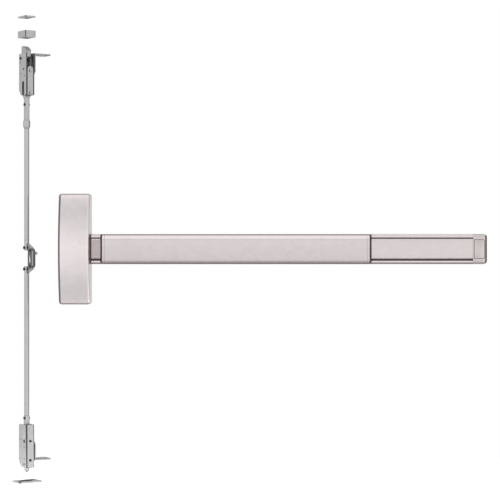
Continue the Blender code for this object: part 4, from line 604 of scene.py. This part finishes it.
def buildCapPlate(name, own):  # a thin plate let into the front of the cap, rounded at its right corners
    look, margin = panelLook, own["margin"]
    start, end, half = look["start"] - margin, look["end"] + margin, look["half"] + margin
    front, back = capLook["front"] - own["rise"], capLook["front"] + look["sunk"]
    bm = bmesh.new()
    blockBetween(bm, (start, front, -half), (end, back, half))
    bevelWhere(bm, lambda a, b: abs(a.y - b.y) > look["sunk"] and min(a.x, b.x) > end - touch,
               own["corner"], look["cornerSteps"])
    if own["rim"]:
        bevelWhere(bm, lambda a, b: max(a.y, b.y) < front + touch, own["rim"], look["rimSteps"])
    keepPiece(name, bm, [own["finish"]], "fixed_parts")


buildEndCap()
for name, look in plateLooks.items():
    buildCapPlate(name, look)

# dark strips in the joints beside the lock case and at both ends of the bar: painted shade that darkens those
# gaps
stripLook = {"places": {"caseStrip": (0.0289, 0.0309), "leftStrip": (0.0492, 0.0516),
                        "rightStrip": (0.5389, 0.5413)},
             "front": -0.045, "back": -0.012, "half": 0.0271, "round": 0.0012, "roundSteps": 3}


def buildStrip(name, start, end):
    look = stripLook
    bm = bmesh.new()
    blockBetween(bm, (start, look["front"], -look["half"]), (end, look["back"], look["half"]))
    bevelWhere(bm, lambda a, b: isLong(a, b, end - start) and max(a.y, b.y) < look["front"] + touch,
               look["round"], look["roundSteps"])
    keepPiece(name, bm, ["stripShade"], "fixed_parts")


for stripName, (stripStart, stripEnd) in stripLook["places"].items():
    buildStrip(stripName, stripStart, stripEnd)
print("end cap and joint strips built")


# every other solid: a merged copy with its edges eased

easedNodes = {
    # the base channel's dark finish is also painted shade in the joints
    "blackSheetGapShade": {"nodes": ["rail_base_channel"], "ease": 0.00025},
    "zincSheet": {"nodes": ["case_chassis", "rocker_bracket_left", "rocker_bracket_right",
                            "bar_bracket_left", "bar_bracket_right", "spring_anchor", "end_cap_bracket",
                            "top_strike_plate", "top_strike_box", "top_latch_case", "top_latch_cover",
                            "top_latch_bracket", "bottom_latch_case", "bottom_latch_bracket", "floor_strike",
                            "cover_screw_top", "cover_screw_bottom", "end_cap_screw_top",
                            "end_cap_screw_bottom", "top_cover_screw_upper", "top_cover_screw_lower"],
                  "ease": 0.0005, "edge": "shearedEdge", "sheet": 0.0024},
    "darkCast": {"nodes": ["connector_frame"], "ease": 0.0005, "edge": "zincSheet", "sheet": 0.0024},
    "zincCast": {"nodes": ["top_latch_bolt", "upper_crank", "lower_crank", "bottom_latch_guide"],
                 "ease": 0.0007, "edge": "shearedEdge", "sheet": 0.0006},
    "drawnRod": {"nodes": ["top_rod", "bottom_rod", "top_rod_coupling", "top_latch_slide", "actuator_link",
                           "crank_link", "bottom_bolt", "lever_pivot_pin", "rocker_pin_left",
                           "rocker_pin_right"], "ease": 0.0003},
    "castLever": {"nodes": ["lift_lever", "rocker_left", "rocker_right"], "ease": 0.00035},
    "blackPin": {"nodes": ["bottom_case_screw_upper", "bottom_case_screw_lower", "bolt_pivot_pin",
                           "bolt_drive_pin", "slide_tail_pin", "top_rod_pin", "bottom_rod_pin",
                           "upper_crank_pin", "lower_crank_pin", "bolt_tail_pin"], "ease": 0.0002},
    "springWire": {"nodes": ["return_spring"], "ease": 0},
}
easeLook = {"merge": 2e-6, "flatTurn": 1, "sharpTurn": 35, "room": 2.6, "steps": 2}
nodeBody = {node: body for body, nodes in frame["record"]["behaviour"]["bodies"].items() for node in nodes}


def hasRoom(edge, width):  # no short edge beside it would hold the bevel back
    shortest = min(other.calc_length() for vert in edge.verts for other in vert.link_edges)
    return shortest > easeLook["room"] * width


def isSharp(edge):
    return len(edge.link_faces) == 2 and edge.calc_face_angle(0) > math.radians(easeLook["sharpTurn"])


def isNarrow(face, width):  # the sheared edge of a sheet, or a small part of it
    longest = max(edge.calc_length() for edge in face.edges)
    return face.calc_area() < width * max(longest, width)


def easeNode(node, finishName, look):
    width, edgeFinish = look["ease"], look.get("edge")
    bm = bmesh.new()
    bm.from_mesh(frame["nodes"][node].data)
    bmesh.ops.remove_doubles(bm, verts=bm.verts, dist=easeLook["merge"])
    bmesh.ops.dissolve_limit(bm, angle_limit=math.radians(easeLook["flatTurn"]),
                             verts=bm.verts, edges=bm.edges)
    if edgeFinish:
        for face in bm.faces:
            face.material_index = int(isNarrow(face, look["sheet"]))
    if width:
        sharp = [edge for edge in bm.edges if isSharp(edge) and hasRoom(edge, width)]
        for face in bevelEdges(bm, sharp, width, easeLook["steps"]):
            face.material_index = int(bool(edgeFinish))
    finishNames = [finishName, edgeFinish] if edgeFinish else [finishName]
    keepPiece(node + "_eased", bm, finishNames, nodeBody[node], [node])


for finishName, group in easedNodes.items():
    for node in group["nodes"]:
        easeNode(node, finishName, group)
print("other solids eased:", sum(len(group["nodes"]) for group in easedNodes.values()))


# floor, light and camera

studioLook = {"floorGap": 0.0002, "floorX": (-0.45, 1.1), "floorY": (-0.24, 0.36),
              "floorColour": (0.82, 0.82, 0.82), "floorRough": 0.9, "floorLift": 0.5,
              "gain": 1.25, "brightest": 2,
              "behind": (-0.15, 0.3), "sides": (-0.9, 0.7), "behindSides": (0.85, 0.62),  # darker behind
              "camera": (0.3209, -3.3, -0.0017), "frameWidth": 0.925, "sensor": 36, "farEnd": 50}
# how bright the room is at each height in degrees, and how that changes towards the sides
skyBands = ((-90, 0.34), (-62, 0.42), (-48, 0.62), (-33, 0.60), (-15, 0.80), (0, 0.92),
            (15, 0.80), (31, 0.60), (45, 0.62), (56, 1.10), (64, 1.15), (90, 1.15))
wingBands = ((0, 1.0), (10, 1.0), (19, 1.2), (35, 1.2), (50, 1.0), (90, 1.0))
lamps = {
    "key": {"place": (-1.3, -2.4, 1.7), "aim": (0.3, 0, 0), "size": 1.6, "power": 26},
    "top": {"place": (0.3, -0.6, 2.2), "aim": (0.3, 0, 0), "size": 1.8, "power": 14},
}


def seenFactor(tree):  # 1 for what the camera, a gloss or a glass looks at
    path = tree.nodes.new("ShaderNodeLightPath").outputs
    seen = mathNode(tree, "MAXIMUM", path["Is Camera Ray"], path["Is Glossy Ray"])
    return mathNode(tree, "MAXIMUM", seen, path["Is Transmission Ray"])


def buildFloor():
    look = studioLook
    level = cadBox[0][2] - look["floorGap"]
    (left, right), (near, far) = look["floorX"], look["floorY"]
    bm = bmesh.new()
    corners = ((left, near), (right, near), (right, far), (left, far))
    bm.faces.new([bm.verts.new((x, y, level)) for x, y in corners])
    mesh = bpy.data.meshes.new("floor")
    bm.to_mesh(mesh)
    bm.free()
    paper, tree = startFinish("paperFloor")
    shader = tree.nodes["Principled BSDF"]
    lift = mathNode(tree, "MULTIPLY", seenFactor(tree), look["floorLift"])
    for label, value in (("Base Color", (*look["floorColour"], 1)), ("Roughness", look["floorRough"]),
                         ("Specular IOR Level", 0), ("Emission Color", (1, 1, 1, 1)),
                         ("Emission Strength", lift)):
        plug(tree, shader.inputs[label], value)
    mesh.materials.append(paper)
    floor = bpy.data.objects.new("floor", mesh)
    bpy.context.scene.collection.objects.link(floor)


def skyTone(tree, height):  # brightness by height
    bands = tree.nodes.new("ShaderNodeValToRGB")
    ramp = bands.color_ramp
    ramp.interpolation = "EASE"
    while len(ramp.elements) < len(skyBands):
        ramp.elements.new(0.5)
    for stop, (degrees, bright) in zip(ramp.elements, skyBands):
        stop.position = (math.sin(math.radians(degrees)) + 1) / 2
        stop.color = (bright, bright, bright, 1)
    tree.links.new(spread(tree, height, -1, 1, 0, 1), bands.inputs["Fac"])
    return bands.outputs["Color"]


def wingTone(tree, aside):  # brightness by how far to either side
    wings = tree.nodes.new("ShaderNodeFloatCurve")
    tree.links.new(mathNode(tree, "ABSOLUTE", aside), wings.inputs["Value"])
    wings.mapping.clip_max_y = studioLook["brightest"]
    points = wings.mapping.curves[0].points
    places = [(math.sin(math.radians(degrees)), bright) for degrees, bright in wingBands]
    points[0].location, points[-1].location = places[0], places[-1]
    for place in places[1:-1]:
        points.new(*place)
    wings.mapping.update()
    return wings.outputs[0]


def buildWorld():
    look = studioLook
    world = bpy.data.worlds.new("studio")
    bpy.context.scene.world = world
    world.use_nodes = True
    tree = world.node_tree
    tree.nodes.clear()
    out = tree.nodes.new("ShaderNodeOutputWorld")
    backing = tree.nodes.new("ShaderNodeBackground")
    backing.inputs["Color"].default_value = (1, 1, 1, 1)
    axes = splitAxes(tree, tree.nodes.new("ShaderNodeTexCoord").outputs["Generated"])
    behindShare = spread(tree, axes["Y"], *look["behind"], 0, 1)
    behindTone = spread(tree, axes["X"], *look["sides"], *look["behindSides"])
    loss = mathNode(tree, "MULTIPLY", behindShare, mathNode(tree, "SUBTRACT", 1.0, behindTone))
    bright = mathNode(tree, "MULTIPLY", skyTone(tree, axes["Z"]), wingTone(tree, axes["X"]))
    room = mathNode(tree, "MULTIPLY", bright, mathNode(tree, "SUBTRACT", 1.0, loss))
    lit = mathNode(tree, "MULTIPLY", room, look["gain"])
    camera = tree.nodes.new("ShaderNodeLightPath").outputs["Is Camera Ray"]
    tree.links.new(mathNode(tree, "MAXIMUM", lit, camera), backing.inputs["Strength"])
    tree.links.new(backing.outputs[0], out.inputs[0])


def addLamp(name, look):
    light = bpy.data.lights.new(name, "AREA")
    light.shape = "SQUARE"
    light.size = look["size"]
    light.energy = look["power"]
    lamp = bpy.data.objects.new(name, light)
    lamp.location = look["place"]
    toward = Vector(look["aim"]) - Vector(look["place"])
    lamp.rotation_euler = toward.to_track_quat("-Z", "Y").to_euler()
    lamp.visible_glossy = False  # no lamp shape shows in the satin metal
    bpy.context.scene.collection.objects.link(lamp)


def addCamera():
    look = studioLook
    lens = bpy.data.cameras.new("camera")
    lens.sensor_width = look["sensor"]
    lens.lens = look["sensor"] * -look["camera"][1] / look["frameWidth"]
    lens.clip_end = look["farEnd"]
    camera = bpy.data.objects.new("camera", lens)
    camera.location = look["camera"]
    camera.rotation_euler = (math.pi / 2, 0, 0)
    bpy.context.scene.collection.objects.link(camera)
    bpy.context.scene.camera = camera


buildFloor()
buildWorld()
for name, look in lamps.items():
    addLamp(name, look)
addCamera()
bpy.context.scene.view_settings.view_transform = "Standard"
print("studio ready")
